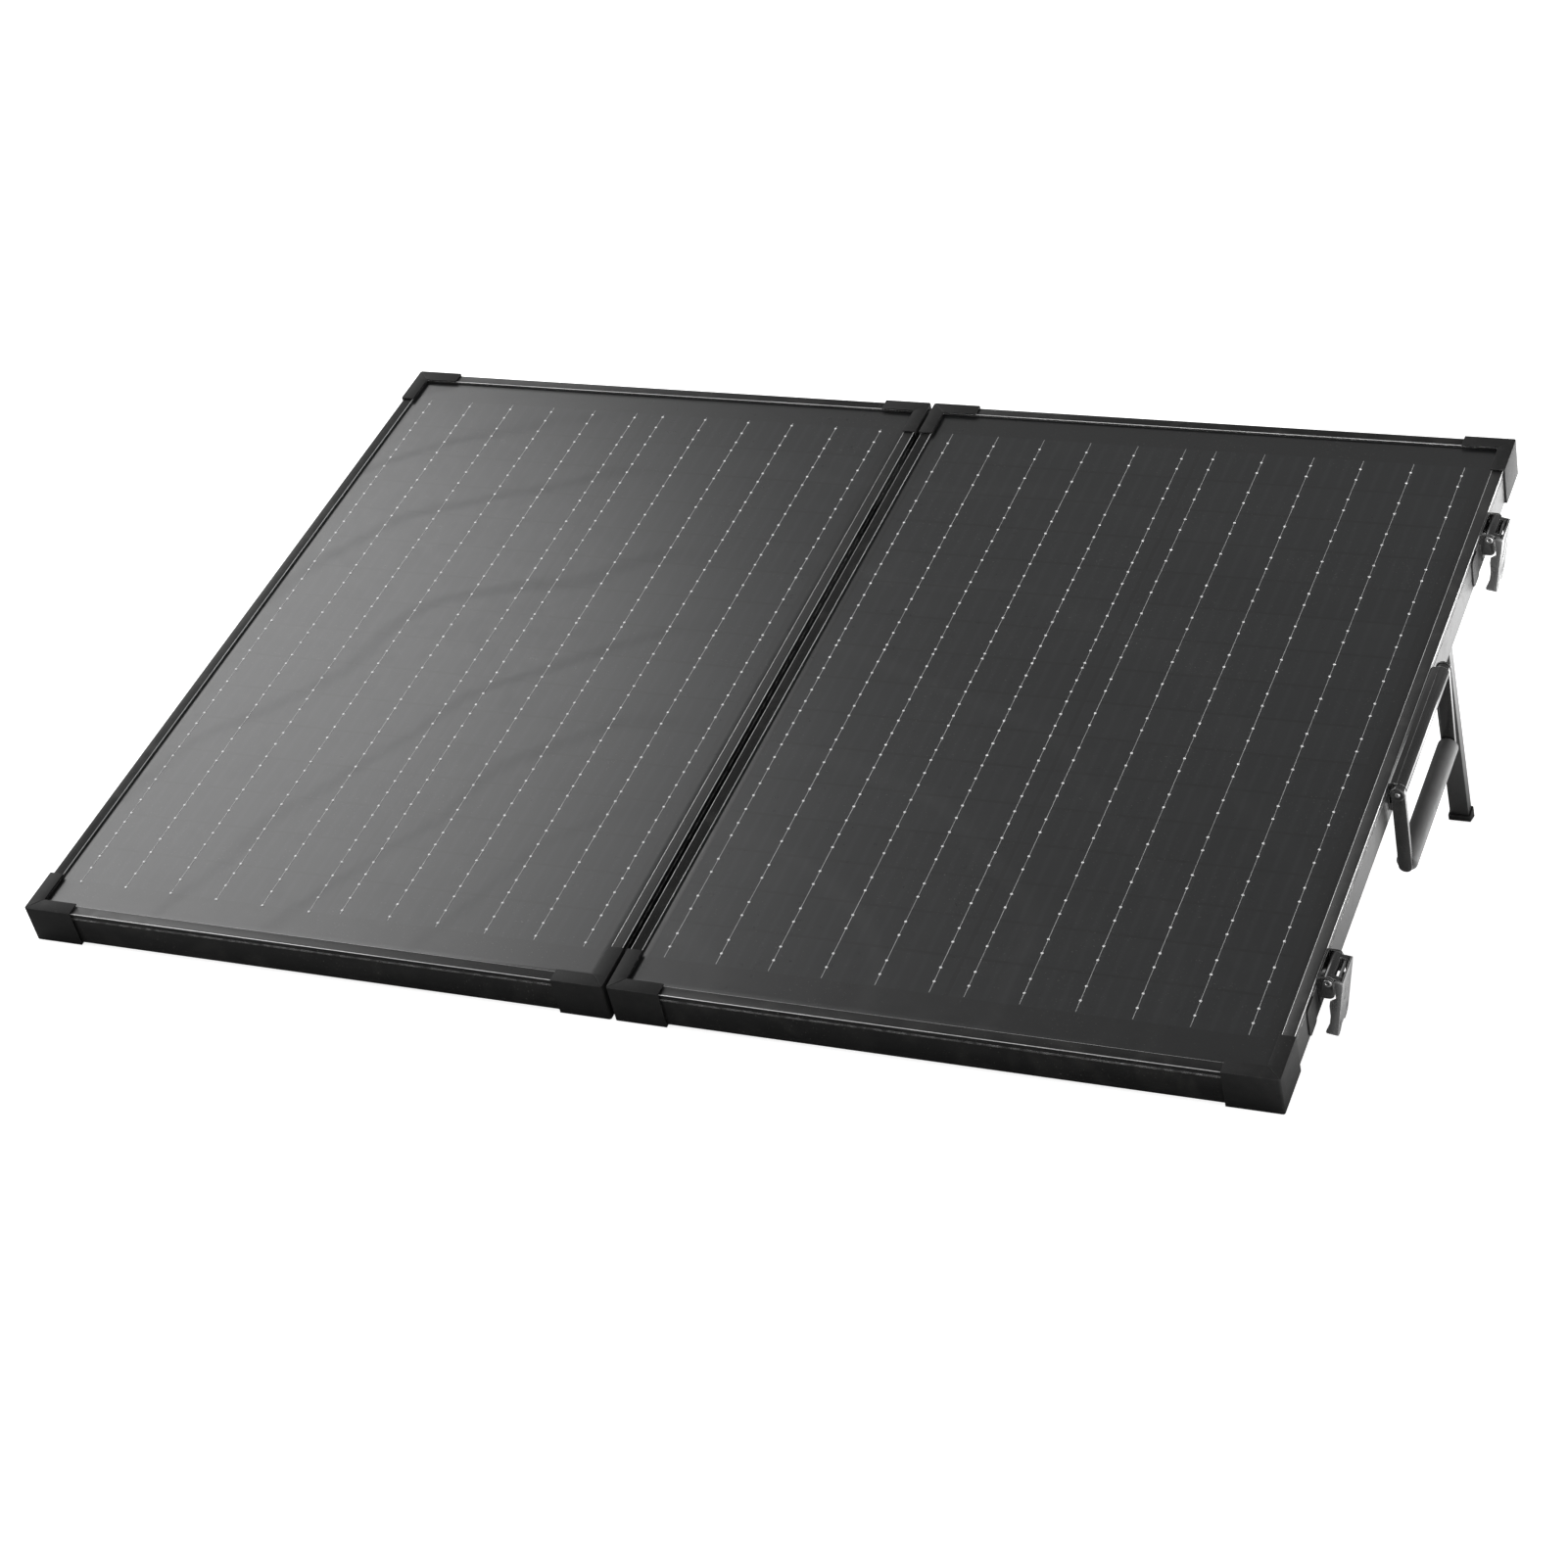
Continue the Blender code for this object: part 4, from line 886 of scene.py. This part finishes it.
# %% The laminate finish
laminate = bpy.data.materials.new("solar laminate")
laminate.use_nodes = True
tree = laminate.node_tree
shader = tree.nodes["Principled BSDF"]
plan = add_node(tree, "UVMap", uv_map="plan").outputs[0]
cells = use_group(tree, cell_group, {"Place": plan})
glass_place = flat_place(tree)
glass_dirt = use_group(tree, dust_group, {"Place": glass_place, "Specks": 0.55, "Smears": 0.5})
glass_grain = use_group(tree, grain_group, {"Place": glass_place, "Fineness": 2200.0})
cell_color = blend_colors(tree, cells["Tone"], gray(0.0150, -0.05), gray(0.0175, -0.05))
cell_color = blend_colors(tree, calc(tree, "MULTIPLY", cells["Stripe"], 0.6), cell_color, gray(0.023, -0.05))
color = blend_colors(tree, cells["Cell"], gray(0.0125, -0.03), cell_color)
color = blend_colors(tree, calc(tree, "MULTIPLY", glass_dirt["Smear"], 0.012), color, DUST_COLOR)
color = blend_colors(tree, calc(tree, "MULTIPLY", glass_dirt["Dust"], 0.5), color, DUST_COLOR)
inputs = {"Vector": glass_place, "Scale": 3.0, "Distortion": 6.0, "Detail": 2.0, "Detail Scale": 1.0}
wipe = add_node(tree, "TexWave", inputs, wave_type="RINGS", rings_direction="Z").outputs[1]
wipe_mark = calc(tree, "MULTIPLY", remap(tree, wipe, 0.93, 1.0), 0.04)
tree.links.new(color, shader.inputs["Base Color"])
gloss = remap(tree, glass_grain["Shade"], 0.0, 1.0, 0.27, 0.31)
gloss = calc(tree, "MULTIPLY_ADD", glass_dirt["Smear"], 0.05, gloss)
tree.links.new(calc(tree, "ADD", gloss, wipe_mark), shader.inputs["Roughness"])
inputs = {"Height": glass_grain["Height"], "Strength": 0.05, "Distance": 0.0001}
tree.links.new(add_node(tree, "Bump", inputs).outputs[0], shader.inputs["Normal"])
print("laminate nodes:", len(tree.nodes))

# %% [markdown]
# The laminate fills the frame between its lip and its shelf, and its edges are ground slightly round. A
# soft black bead of sealant shows along the lip all round.

# %% Laminates and sealant
BEAD_WIDTH = 0.0012
BEAD_HEIGHT = 0.0006
GROUND_WIDTH = 0.012
panel_corner_x = {
    "right": flat_box("right_front_inner_guard")[0].x,
    "left": flat_box("left_front_outer_guard")[0].x,
}
for side in ("right", "left"):
    low, high = flat_box(f"{side}_glass")
    sheet = new_box(f"{side}_laminate", low, high)
    edit(sheet, "FACE", lambda center, normal: normal.z > 0.9)
    bpy.ops.mesh.inset(thickness=GROUND_WIDTH)
    leave(sheet)
    soften(sheet, 0.0005, 2)
    plan_map = sheet.data.uv_layers.new(name="plan")
    for loop in sheet.data.loops:
        spot = sheet.data.vertices[loop.vertex_index].co
        plan_map.data[loop.index].uv = (spot.x - panel_corner_x[side], spot.y)
    for other in [layer for layer in sheet.data.uv_layers if layer.name != "plan"]:
        sheet.data.uv_layers.remove(other)
    stand_for(sheet, f"{side}_glass", laminate)
    frame_low, frame_high = flat_box(f"{side}_inner_rail")[0], flat_box(f"{side}_outer_rail")[1]
    if side == "left":
        frame_low, frame_high = flat_box("left_outer_rail")[0], flat_box("left_inner_rail")[1]
    edge_low = Vector((frame_low.x + LIP_WIDTH, frame_low.y + LIP_WIDTH, high.z))
    edge_high = Vector((frame_high.x - LIP_WIDTH, frame_high.y - LIP_WIDTH, high.z + BEAD_HEIGHT))
    border = Vector((BEAD_WIDTH, BEAD_WIDTH, 0))
    bead = new_box(f"{side}_sealant", edge_low - border / 2, edge_high + border / 2)
    inside_low = edge_low + border / 2 - Vector((0, 0, 0.01))
    inside_high = edge_high - border / 2 + Vector((0, 0, 0.01))
    inside = new_box("inside", inside_low, inside_high)
    soften(combine(bead, inside), 0.00025, 3)
    finish_piece(bead, seal_rubber, f"{side}_panel")
print("laminate width:", round(high.x - low.x, 4))

# %% [markdown]
# Twelve fine tinned wires run up each panel, six to a column, and they are soldered to the cells at small
# bright points. The cells are laid in runs of strips, and the points sit a little higher or lower from
# one run to the next. One wire is modelled, and one point for each place up a strip, and Array modifiers
# repeat them. A point is a low dome with only a few faces, because there are several hundred.

# %% Wire and solder finishes
wire_metal = new_finish(
    "tinned wire", gray(0.24), gray(0.56), 0.42, metallic=0.2, fineness=260.0, bump=0.05, wear_and_highlight=0.0, specks=0.0
)
solder_metal = new_finish(
    "solder", gray(0.90), gray(0.98), 0.30, metallic=0.0, fineness=900.0, bump=0.25, wear_and_highlight=0.0, specks=0.0
)
print("finishes:", len(bpy.data.materials))

# %% [markdown]
# A point starts as a low rod with ten sides. Its top face is inset and lifted, which makes the dome, and
# then it is repeated up the strips and across the six wires. All the points of a column are joined.

# %% One column of solder points
POINT_RADIUS = 0.00098
POINT_EDGE = 0.00022
POINT_CROWN = 0.00014
LINES_IN_COLUMN = 6
glass_top = flat_box("right_glass")[1].z


def solder_points(name, corner_x, runs):
    """The solder points of one column. A run is its first strip, its count of strips and the points' places
    up a strip, as shares of the distance from one strip to the next."""
    pieces = []
    for first_row, rows, shares in runs:
        for share in shares:
            spot = Vector((corner_x, ROW_START_Y + (first_row + share) * ROW_PITCH, glass_top))
            top = spot + Vector((0, 0, POINT_EDGE))
            dome = new_rod(f"{name}_{len(pieces)}", POINT_RADIUS, spot, top, sides=10)
            edit(dome, "FACE", lambda center, normal: normal.z > 0.9)
            bpy.ops.mesh.inset(thickness=POINT_RADIUS * 0.4)
            bpy.ops.transform.translate(value=(0, 0, POINT_CROWN))
            leave(dome)
            repeat(dome, rows, (0, ROW_PITCH, 0))
            pieces.append(repeat(dome, LINES_IN_COLUMN, (LINE_PITCH, 0, 0)))
    work_on(pieces[0])
    for piece in pieces[1:]:
        piece.select_set(True)
    bpy.ops.object.join()
    pieces[0].name = name
    bpy.ops.object.shade_smooth()
    return pieces[0]


print("glass top:", round(glass_top, 4))

# %% [markdown]
# The left panel's points lie three to a strip. The right panel's mostly lie two to a strip, with a few runs
# of three. Each wire is a thin flat strip with eased upper edges, under the points.

# %% Wires and points on both panels
WIRE_HALF = 0.00022
WIRE_HEIGHT = 0.00016
LINE_END_Y = 0.6315
COLUMN_STEP = 0.2134
two_points = (0.30, 0.65)
point_runs = {
    ("left", 0): ((0, 5, (-0.01, 0.375, 0.715)), (5, 11, (0.05, 0.445, 0.77))),
    ("left", 1): ((0, 9, (0.13, 0.47, 0.85)), (9, 1, (0.0, 0.39, 0.73)), (10, 6, (0.14, 0.47, 0.85))),
    ("right", 0): (
        (0, 4, two_points),
        (4, 1, (0.04, 0.43, 0.77)),
        (5, 4, (0.19, 0.53, 0.90)),
        (9, 1, (0.05, 0.42, 0.75)),
        (10, 3, (0.16, 0.49, 0.87)),
        (13, 3, (0.26, 0.60)),
    ),
    ("right", 1): ((0, ROWS, two_points),),
}
for side in ("right", "left"):
    for column in (0, 1):
        first_x = panel_corner_x[side] + FIRST_LINE_X + column * COLUMN_STEP
        wire_low = (first_x - WIRE_HALF, ROW_START_Y + 0.001, glass_top)
        wire_high = (first_x + WIRE_HALF, LINE_END_Y, glass_top + WIRE_HEIGHT)
        wires = new_box(f"{side}_wires_{column + 1}", wire_low, wire_high)
        edit(wires, "EDGE", lambda one, two: min(one.z, two.z) > glass_top and abs(one.y - two.y) > 0.1)
        bpy.ops.mesh.bevel(offset=0.0001, segments=2, affect="EDGES")
        leave(wires)
        repeat(wires, LINES_IN_COLUMN, (LINE_PITCH, 0, 0))
        finish_piece(wires, wire_metal, f"{side}_panel")
        points = solder_points(f"{side}_solder_{column + 1}", first_x, point_runs[side, column])
        finish_piece(points, solder_metal, f"{side}_panel")
print("solder point faces on one column:", len(points.data.polygons))

# %% [markdown]
# Many small parts are pressed or moulded, and the measured model already has their shape. For those, a
# copy of its mesh is welded, its flat areas are merged into single faces, and its edges are rounded, so
# that they catch the light as real sheet and mouldings do.

# %% Easing the edges of measured parts
WELD_DISTANCE = 0.000005
FLAT_WITHIN = math.radians(1.5)


def eased_copy(node_name, name, width, segments=2):
    source = frame["nodes"][node_name]
    made = bpy.data.objects.new(name, source.data.copy())
    bpy.context.scene.collection.objects.link(made)
    edit(made, "VERT")
    bpy.ops.mesh.remove_doubles(threshold=WELD_DISTANCE)
    bpy.ops.mesh.dissolve_limited(angle_limit=FLAT_WITHIN)
    leave(made)
    return soften(made, width, segments)


def ease(node_name, finish, width, segments=2):
    made = eased_copy(node_name, f"{node_name}_eased", width, segments)
    return stand_for(made, node_name, finish, lies_flat=False)


for end in ("front", "back"):
    ease(f"{end}_latch_base", latch_steel, 0.00035)
    ease(f"{end}_latch_link", latch_steel, 0.0003)
    ease(f"{end}_latch_lever", lit_lever_steel, 0.00025)
    ease(f"{end}_latch_keeper", latch_steel, 0.00025)
    ease(f"{end}_hinge_right_leaf", plain_steel, 0.00025)
    ease(f"{end}_hinge_left_leaf", plain_steel, 0.00025)
    ease(f"{end}_hinge_pin", bright_steel, 0.0002)
for side in ("right", "left"):
    ease(f"{side}_leg", leg_metal, 0.0006, 3)
    ease(f"{side}_leg_foot", rubber, 0.0006, 3)
    ease(f"{side}_leg_bracket", plain_steel, 0.0003)
    ease(f"{side}_leg_thumb_screw", knob_plastic, 0.0006, 3)
    ease(f"{side}_junction_box", box_plastic, 0.0005, 3)
    ease(f"{side}_junction_box_lid", box_plastic, 0.0005, 3)
    ease(f"{side}_junction_box_gland", box_plastic, 0.0003)
ease("handle_base", handle_plastic, 0.0005, 3)
ease("handle_bail", handle_plastic, 0.0009, 4)
ease("controller_cradle", plain_steel, 0.0003)
ease("controller_case", box_plastic, 0.0006, 3)
ease("controller_face", face_plate, 0.0004)
ease("controller_gland", box_plastic, 0.0003)
ease("controller_button", knob_plastic, 0.0004, 3)

# %% [markdown]
# The bar does not stand free of the rail: a moulded web fills the gap behind it. Its upper edge, next to
# the rail, is rounded over generously. In front of each latch a flat dark plate lies on the rail's side as a
# painted shadow, standing for the shadow that the latch casts there. Both start as boxes, and only the edges
# that the hand would meet are bevelled wide.

# %% The web behind the bar, and the dark plates that paint the latches' shadows
WEB_ROUNDING = 0.0030
SHADOW_PLATE_THICK = 0.0012
SHADOW_PLATE_ROUNDING = 0.0035
SHADOW_PLATE_FAR, SHADOW_PLATE_NEAR = 0.026, 0.010
base_low, base_high = flat_box("handle_base")
hub_low, hub_high = flat_box("handle_front_pivot_pin")
web_low = (side_high.x + GAP, base_low.y + GAP, base_low.z + 0.006)
web_high = ((hub_low.x + hub_high.x) / 2, base_high.y - GAP, base_high.z - GAP)
web = new_box("handle_web", web_low, web_high)


def upper_by_the_rail(one, two):
    return max(one.x, two.x) < web_low[0] + GAP and min(one.z, two.z) > web_high[2] - GAP


edit(web, "EDGE", upper_by_the_rail)
bpy.ops.mesh.bevel(offset=WEB_ROUNDING, segments=6, affect="EDGES")
leave(web)
soften(web, 0.0003)
finish_piece(web, handle_plastic, "right_panel")
# A dark plate in front of each latch is a painted shadow of the latch on the rail's side.
for end in ("front", "back"):
    low, high = flat_box(f"{end}_latch_base")
    shadow_plate_low = (side_high.x, low.y - SHADOW_PLATE_FAR, rail_low.z + 0.0012)
    shadow_plate_high = (side_high.x + SHADOW_PLATE_THICK, low.y - SHADOW_PLATE_NEAR, rail_high.z - 0.0030)
    shadow_plate = new_box(f"{end}_latch_shadow_plate", shadow_plate_low, shadow_plate_high)
    edit(shadow_plate, "EDGE", lambda one, two: abs(one.x - two.x) > 0.001)
    bpy.ops.mesh.bevel(offset=SHADOW_PLATE_ROUNDING, segments=5, affect="EDGES")
    leave(shadow_plate)
    soften(shadow_plate, 0.0003)
    finish_piece(shadow_plate, guard_plastic, "right_panel")
print("web length:", round(web_high[1] - web_low[1], 4))

# %% [markdown]
# The grip is a thick rubber sleeve. It starts as a rod, its ends are rounded off and it is sliced across
# twice near each end, where the mould closes on it.

# %% The handle's grip
GRIP_ROUNDING = 0.0016
RING_EDGES = (0.004, 0.0048)
grip_low, grip_high = flat_box("handle_grip")
grip_radius = (grip_high.x - grip_low.x) / 2
grip_x = (grip_low.x + grip_high.x) / 2
grip_z = (grip_low.z + grip_high.z) / 2
grip_start, grip_end = (grip_x, grip_low.y, grip_z), (grip_x, grip_high.y, grip_z)
grip = new_rod("handle_grip_sleeve", grip_radius, grip_start, grip_end, 48)
for inset_y in RING_EDGES:
    for place_y in (grip_low.y + inset_y, grip_high.y - inset_y):
        slice_at(grip, (0, place_y, 0), (0, 1, 0))


def round_an_end(one, two):
    to_end = min(abs(one.y - grip_low.y), abs(one.y - grip_high.y))
    return abs(one.y - two.y) < 0.00001 and to_end < 0.00001


edit(grip, "EDGE", round_an_end)
bpy.ops.mesh.bevel(offset=GRIP_ROUNDING, segments=5, affect="EDGES")
leave(grip)
bpy.ops.object.shade_smooth_by_angle(angle=SMOOTH_ANGLE)
stand_for(grip, "handle_grip", grip_rubber)
print("grip radius:", round(grip_radius, 4))

# %% [markdown]
# At both ends of the handle's bar a domed hub covers the pivot. A disc's outer face is inset and pushed
# out to a dome, and a small bright pin shows at its centre. The latches turn on hollow rivets, which are
# short tubes rolled over at both ends.

# %% Hubs and rivets
HUB_HEIGHT = 0.0018
RIVET_FLARE = 0.0007
for end, direction in (("front", -1), ("back", 1)):
    low, high = flat_box(f"handle_{end}_pivot_pin")
    center_x, center_z = (low.x + high.x) / 2, (low.z + high.z) / 2
    outer_y = low.y if direction < 0 else high.y
    radius = (high.x - low.x) / 2
    inner = Vector((center_x, outer_y - direction * HUB_HEIGHT, center_z))
    outer = Vector((center_x, outer_y, center_z))
    rim_middle = outer - Vector((0, direction * 0.0006, 0))
    hub = new_rod(f"handle_{end}_hub", radius, inner, rim_middle, 40)
    edit(hub, "FACE", lambda center, normal: normal.y * direction > 0.9)
    bpy.ops.mesh.inset(thickness=radius * 0.25)
    bpy.ops.transform.translate(value=(0, direction * 0.0005, 0))
    bpy.ops.mesh.inset(thickness=radius * 0.3)
    bpy.ops.transform.translate(value=(0, -direction * 0.0004, 0))
    leave(hub)
    soften(hub, 0.0003, 3, 25)
    stand_for(hub, f"handle_{end}_pivot_pin", handle_plastic)
    pin_start = outer - Vector((0, direction * 0.0012, 0))
    pin = new_rod(f"handle_{end}_pin_end", radius * 0.34, pin_start, outer, 24)
    soften(pin, 0.0004, 3)
    finish_piece(pin, bright_steel, "right_panel")
for end in ("front", "back"):
    low, high = flat_box(f"{end}_latch_rivet")
    center_x, center_z = (low.x + high.x) / 2, (low.z + high.z) / 2
    radius = (high.x - low.x) / 2
    shank_ends = (center_x, low.y, center_z), (center_x, high.y, center_z)
    rivet = new_rod(f"{end}_latch_rivet_rolled", radius * 0.60, *shank_ends)
    for direction, face_y in ((-1, low.y), (1, high.y)):
        start = Vector((center_x, face_y - direction * RIVET_FLARE, center_z))
        flare = new_rod("flare", radius, start, (center_x, face_y, center_z))
        combine(rivet, flare, "UNION")
    bore_low, bore_high = (center_x, low.y - 0.001, center_z), (center_x, high.y + 0.001, center_z)
    combine(rivet, new_rod("bore", radius * 0.32, bore_low, bore_high, 24))
    soften(rivet, 0.0003, 3)
    stand_for(rivet, f"{end}_latch_rivet", bright_steel)
print("rivet radius:", round(radius, 5))

# %% [markdown]
# The screws are modelled once: a low disc with a rounded rim and a cross cut in its top. Copies go on the
# handle's feet, the hinge leaves, the latch plates, the box lids and the controller's face. Each copy has
# its own mesh, as each is a separate screw.

# %% The screw
SCREW_RADIUS = 0.0021
SCREW_HEIGHT = 0.0009
screw = new_rod("screw", SCREW_RADIUS, (0, 0, -0.0004), (0, 0, SCREW_HEIGHT), 28)
soften(screw, 0.0004, 3)
arm_half, arm_wide, arm_deep = SCREW_RADIUS * 0.62, SCREW_RADIUS * 0.14, 0.0005
for turn in (math.radians(20), math.radians(110)):
    arm_low = (-arm_half, -arm_wide, SCREW_HEIGHT - arm_deep)
    arm = new_box("arm", arm_low, (arm_half, arm_wide, SCREW_HEIGHT * 2))
    arm.data.transform(Matrix.Rotation(turn, 4, "Z"))
    combine(screw, arm)
work_on(screw)
bpy.ops.object.shade_smooth_by_angle(angle=SMOOTH_ANGLE)
print("screw faces:", len(screw.data.polygons))

# %% [markdown]
# A copy is turned so that its head faces outwards, and scaled a little where a smaller screw is used. A
# plate that faces down has four, one near each corner.

# %% All the screws
def put_screw(name, spot, facing, body, size=1.0, finish=None):
    """A copy of the screw with its head facing a direction."""
    turn = Vector(facing).to_track_quat("Z", "Y").to_matrix().to_4x4()
    place = Matrix.Translation(spot) @ turn @ Matrix.Scale(size, 4)
    return finish_piece(copy_of(screw, name, place), finish or bright_steel, body)


def put_corner_screws(name, node_name, in_x, in_y, body, size):
    """A screw near each corner of a plate that faces down, in by a share of its width and length."""
    low, high = flat_box(node_name)
    shares = ((in_x, in_y), (1 - in_x, in_y), (1 - in_x, 1 - in_y), (in_x, 1 - in_y))
    for number, (share_x, share_y) in enumerate(shares):
        spot = Vector((low.x + (high.x - low.x) * share_x, low.y + (high.y - low.y) * share_y, low.z))
        put_screw(f"{name}_{number + 1}", spot, (0, 0, -1), body, size)


HINGE_SCREW_X = 0.0128
for end in ("front", "back"):
    for side in ("right", "left"):
        low, high = flat_box(f"{end}_hinge_{side}_leaf")
        screw_x = math.copysign(HINGE_SCREW_X, low.x + high.x)
        for number, share in enumerate((0.22, 0.78)):
            spot = Vector((screw_x, low.y + (high.y - low.y) * share, rail_low.z - 0.0010))
            name = f"{end}_hinge_{side}_screw_{number + 1}"
            put_screw(name, spot, (0, 0, -1), f"{side}_panel", 0.9, plain_steel)
bar_low, bar_high = flat_box("handle_base")
screw_rows = (bar_low.y + 0.006, bar_low.y + 0.0165, bar_high.y - 0.0165, bar_high.y - 0.006)
for number, place_y in enumerate(screw_rows):
    spot = Vector((side_high.x + 0.0023, place_y, bar_low.z + 0.0050))
    put_screw(f"handle_screw_{number + 1}", spot, (1, 0, 0), "right_panel", 1.1)
for side in ("right", "left"):
    put_corner_screws(f"{side}_lid_screw", f"{side}_junction_box_lid", 0.07, 0.09, f"{side}_panel", 0.95)
for end in ("front", "back"):
    low, high = flat_box(f"{end}_latch_base")
    for number, share in enumerate((0.28, 0.72)):
        spot = Vector((side_high.x + 0.0018, low.y + (high.y - low.y) * share, low.z + 0.0042))
        put_screw(f"{end}_latch_screw_{number + 1}", spot, (1, 0, 0), "right_panel", 0.8, latch_steel)
put_corner_screws("controller_screw", "controller_face", 0.05, 0.08, "right_panel", 0.9)
bpy.data.objects.remove(screw, do_unlink=True)

# %% [markdown]
# The charge controller faces down, behind the right panel. Its face gets a small display under a rounded
# rim and three indicator lamps. None of them carries any lettering.

# %% The controller's display and lamps
display_glass = new_finish(
    "display glass",
    gray(0.020, -0.25),
    gray(0.030, -0.25),
    0.12,
    fineness=60.0,
    bump=0.02,
    wear_and_highlight=0.0,
    coat=0.8,
)
lamp_lens = new_finish(
    "lamp lens",
    (0.05, 0.30, 0.08, 1),
    (0.08, 0.42, 0.12, 1),
    0.2,
    fineness=400.0,
    bump=0.05,
    wear_and_highlight=0.0,
    coat=0.6,
)
LAMP_RADIUS = 0.0016
LAMP_PITCH = 0.010
face_low, face_high = flat_box("controller_face")
face_middle = (face_low + face_high) / 2
rim_low = Vector((face_middle.x - 0.040, face_middle.y - 0.016, face_low.z - 0.0008))
rim_high = Vector((face_middle.x + 0.016, face_middle.y + 0.020, face_low.z + 0.0003))
rim = new_box("display_rim", rim_low, rim_high)
edit(rim, "FACE", lambda center, normal: normal.z < -0.9)
bpy.ops.mesh.inset(thickness=0.0025)
bpy.ops.transform.translate(value=(0, 0, 0.0006))
leave(rim)
soften(rim, 0.0004, 3)
finish_piece(rim, box_plastic, "right_panel")
border = Vector((0.0027, 0.0027, 0))
screen = new_box("display_screen", rim_low + border + Vector((0, 0, 0.00035)), rim_high - border)
soften(screen, 0.0002, 2)
finish_piece(screen, display_glass, "right_panel")
for number in range(3):
    spot = Vector((face_middle.x - 0.034 + number * LAMP_PITCH, face_middle.y - 0.026, face_low.z))
    lamp_base, lamp_top = spot + Vector((0, 0, 0.0004)), spot - Vector((0, 0, 0.0009))
    lamp = new_rod(f"indicator_lamp_{number + 1}", LAMP_RADIUS, lamp_base, lamp_top, 24)
    soften(lamp, 0.0006, 4)
    finish_piece(lamp, lamp_lens, "right_panel")
print("display width:", round(rim_high.x - rim_low.x, 4))

# %% [markdown]
# The backs of the panels are covered by a thin white film. It is flat in reality too, so the measured
# sheets stay, and only get a finish: slightly wrinkled white film, through which the cells show faintly.

# %% The back film
back_film = new_finish(
    "white back film",
    gray(0.60, 0.01),
    gray(0.68, 0.01),
    0.48,
    fineness=180.0,
    bump=0.18,
    wear_and_highlight=0.0,
    smears=0.4,
)
film_tree = back_film.node_tree
film_shader = film_tree.nodes["Principled BSDF"]
film_color = film_shader.inputs["Base Color"].links[0].from_socket
inputs = {"Vector": flat_place(film_tree), "Location": (panel_corner_x["right"], 0, 0)}
film_place = add_node(film_tree, "Mapping", inputs, vector_type="TEXTURE").outputs[0]
film_cells = use_group(film_tree, cell_group, {"Place": film_place})
shadow_share = calc(film_tree, "MULTIPLY", film_cells["Cell"], 0.16)
shaded_film = blend_colors(film_tree, shadow_share, film_color, gray(0.25))
film_tree.links.new(shaded_film, film_shader.inputs["Base Color"])
for side in ("right", "left"):
    film = frame["nodes"][f"{side}_backsheet"]
    for slot in film.material_slots:
        slot.material = back_film
print("film nodes:", len(film_tree.nodes))

# %% Check the size and finish
visual_low, visual_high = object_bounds()
grown = [round(1000 * (a - b), 2) for a, b in zip(visual_high - visual_low, measured_high - measured_low)]
print("grown in millimetres:", grown)
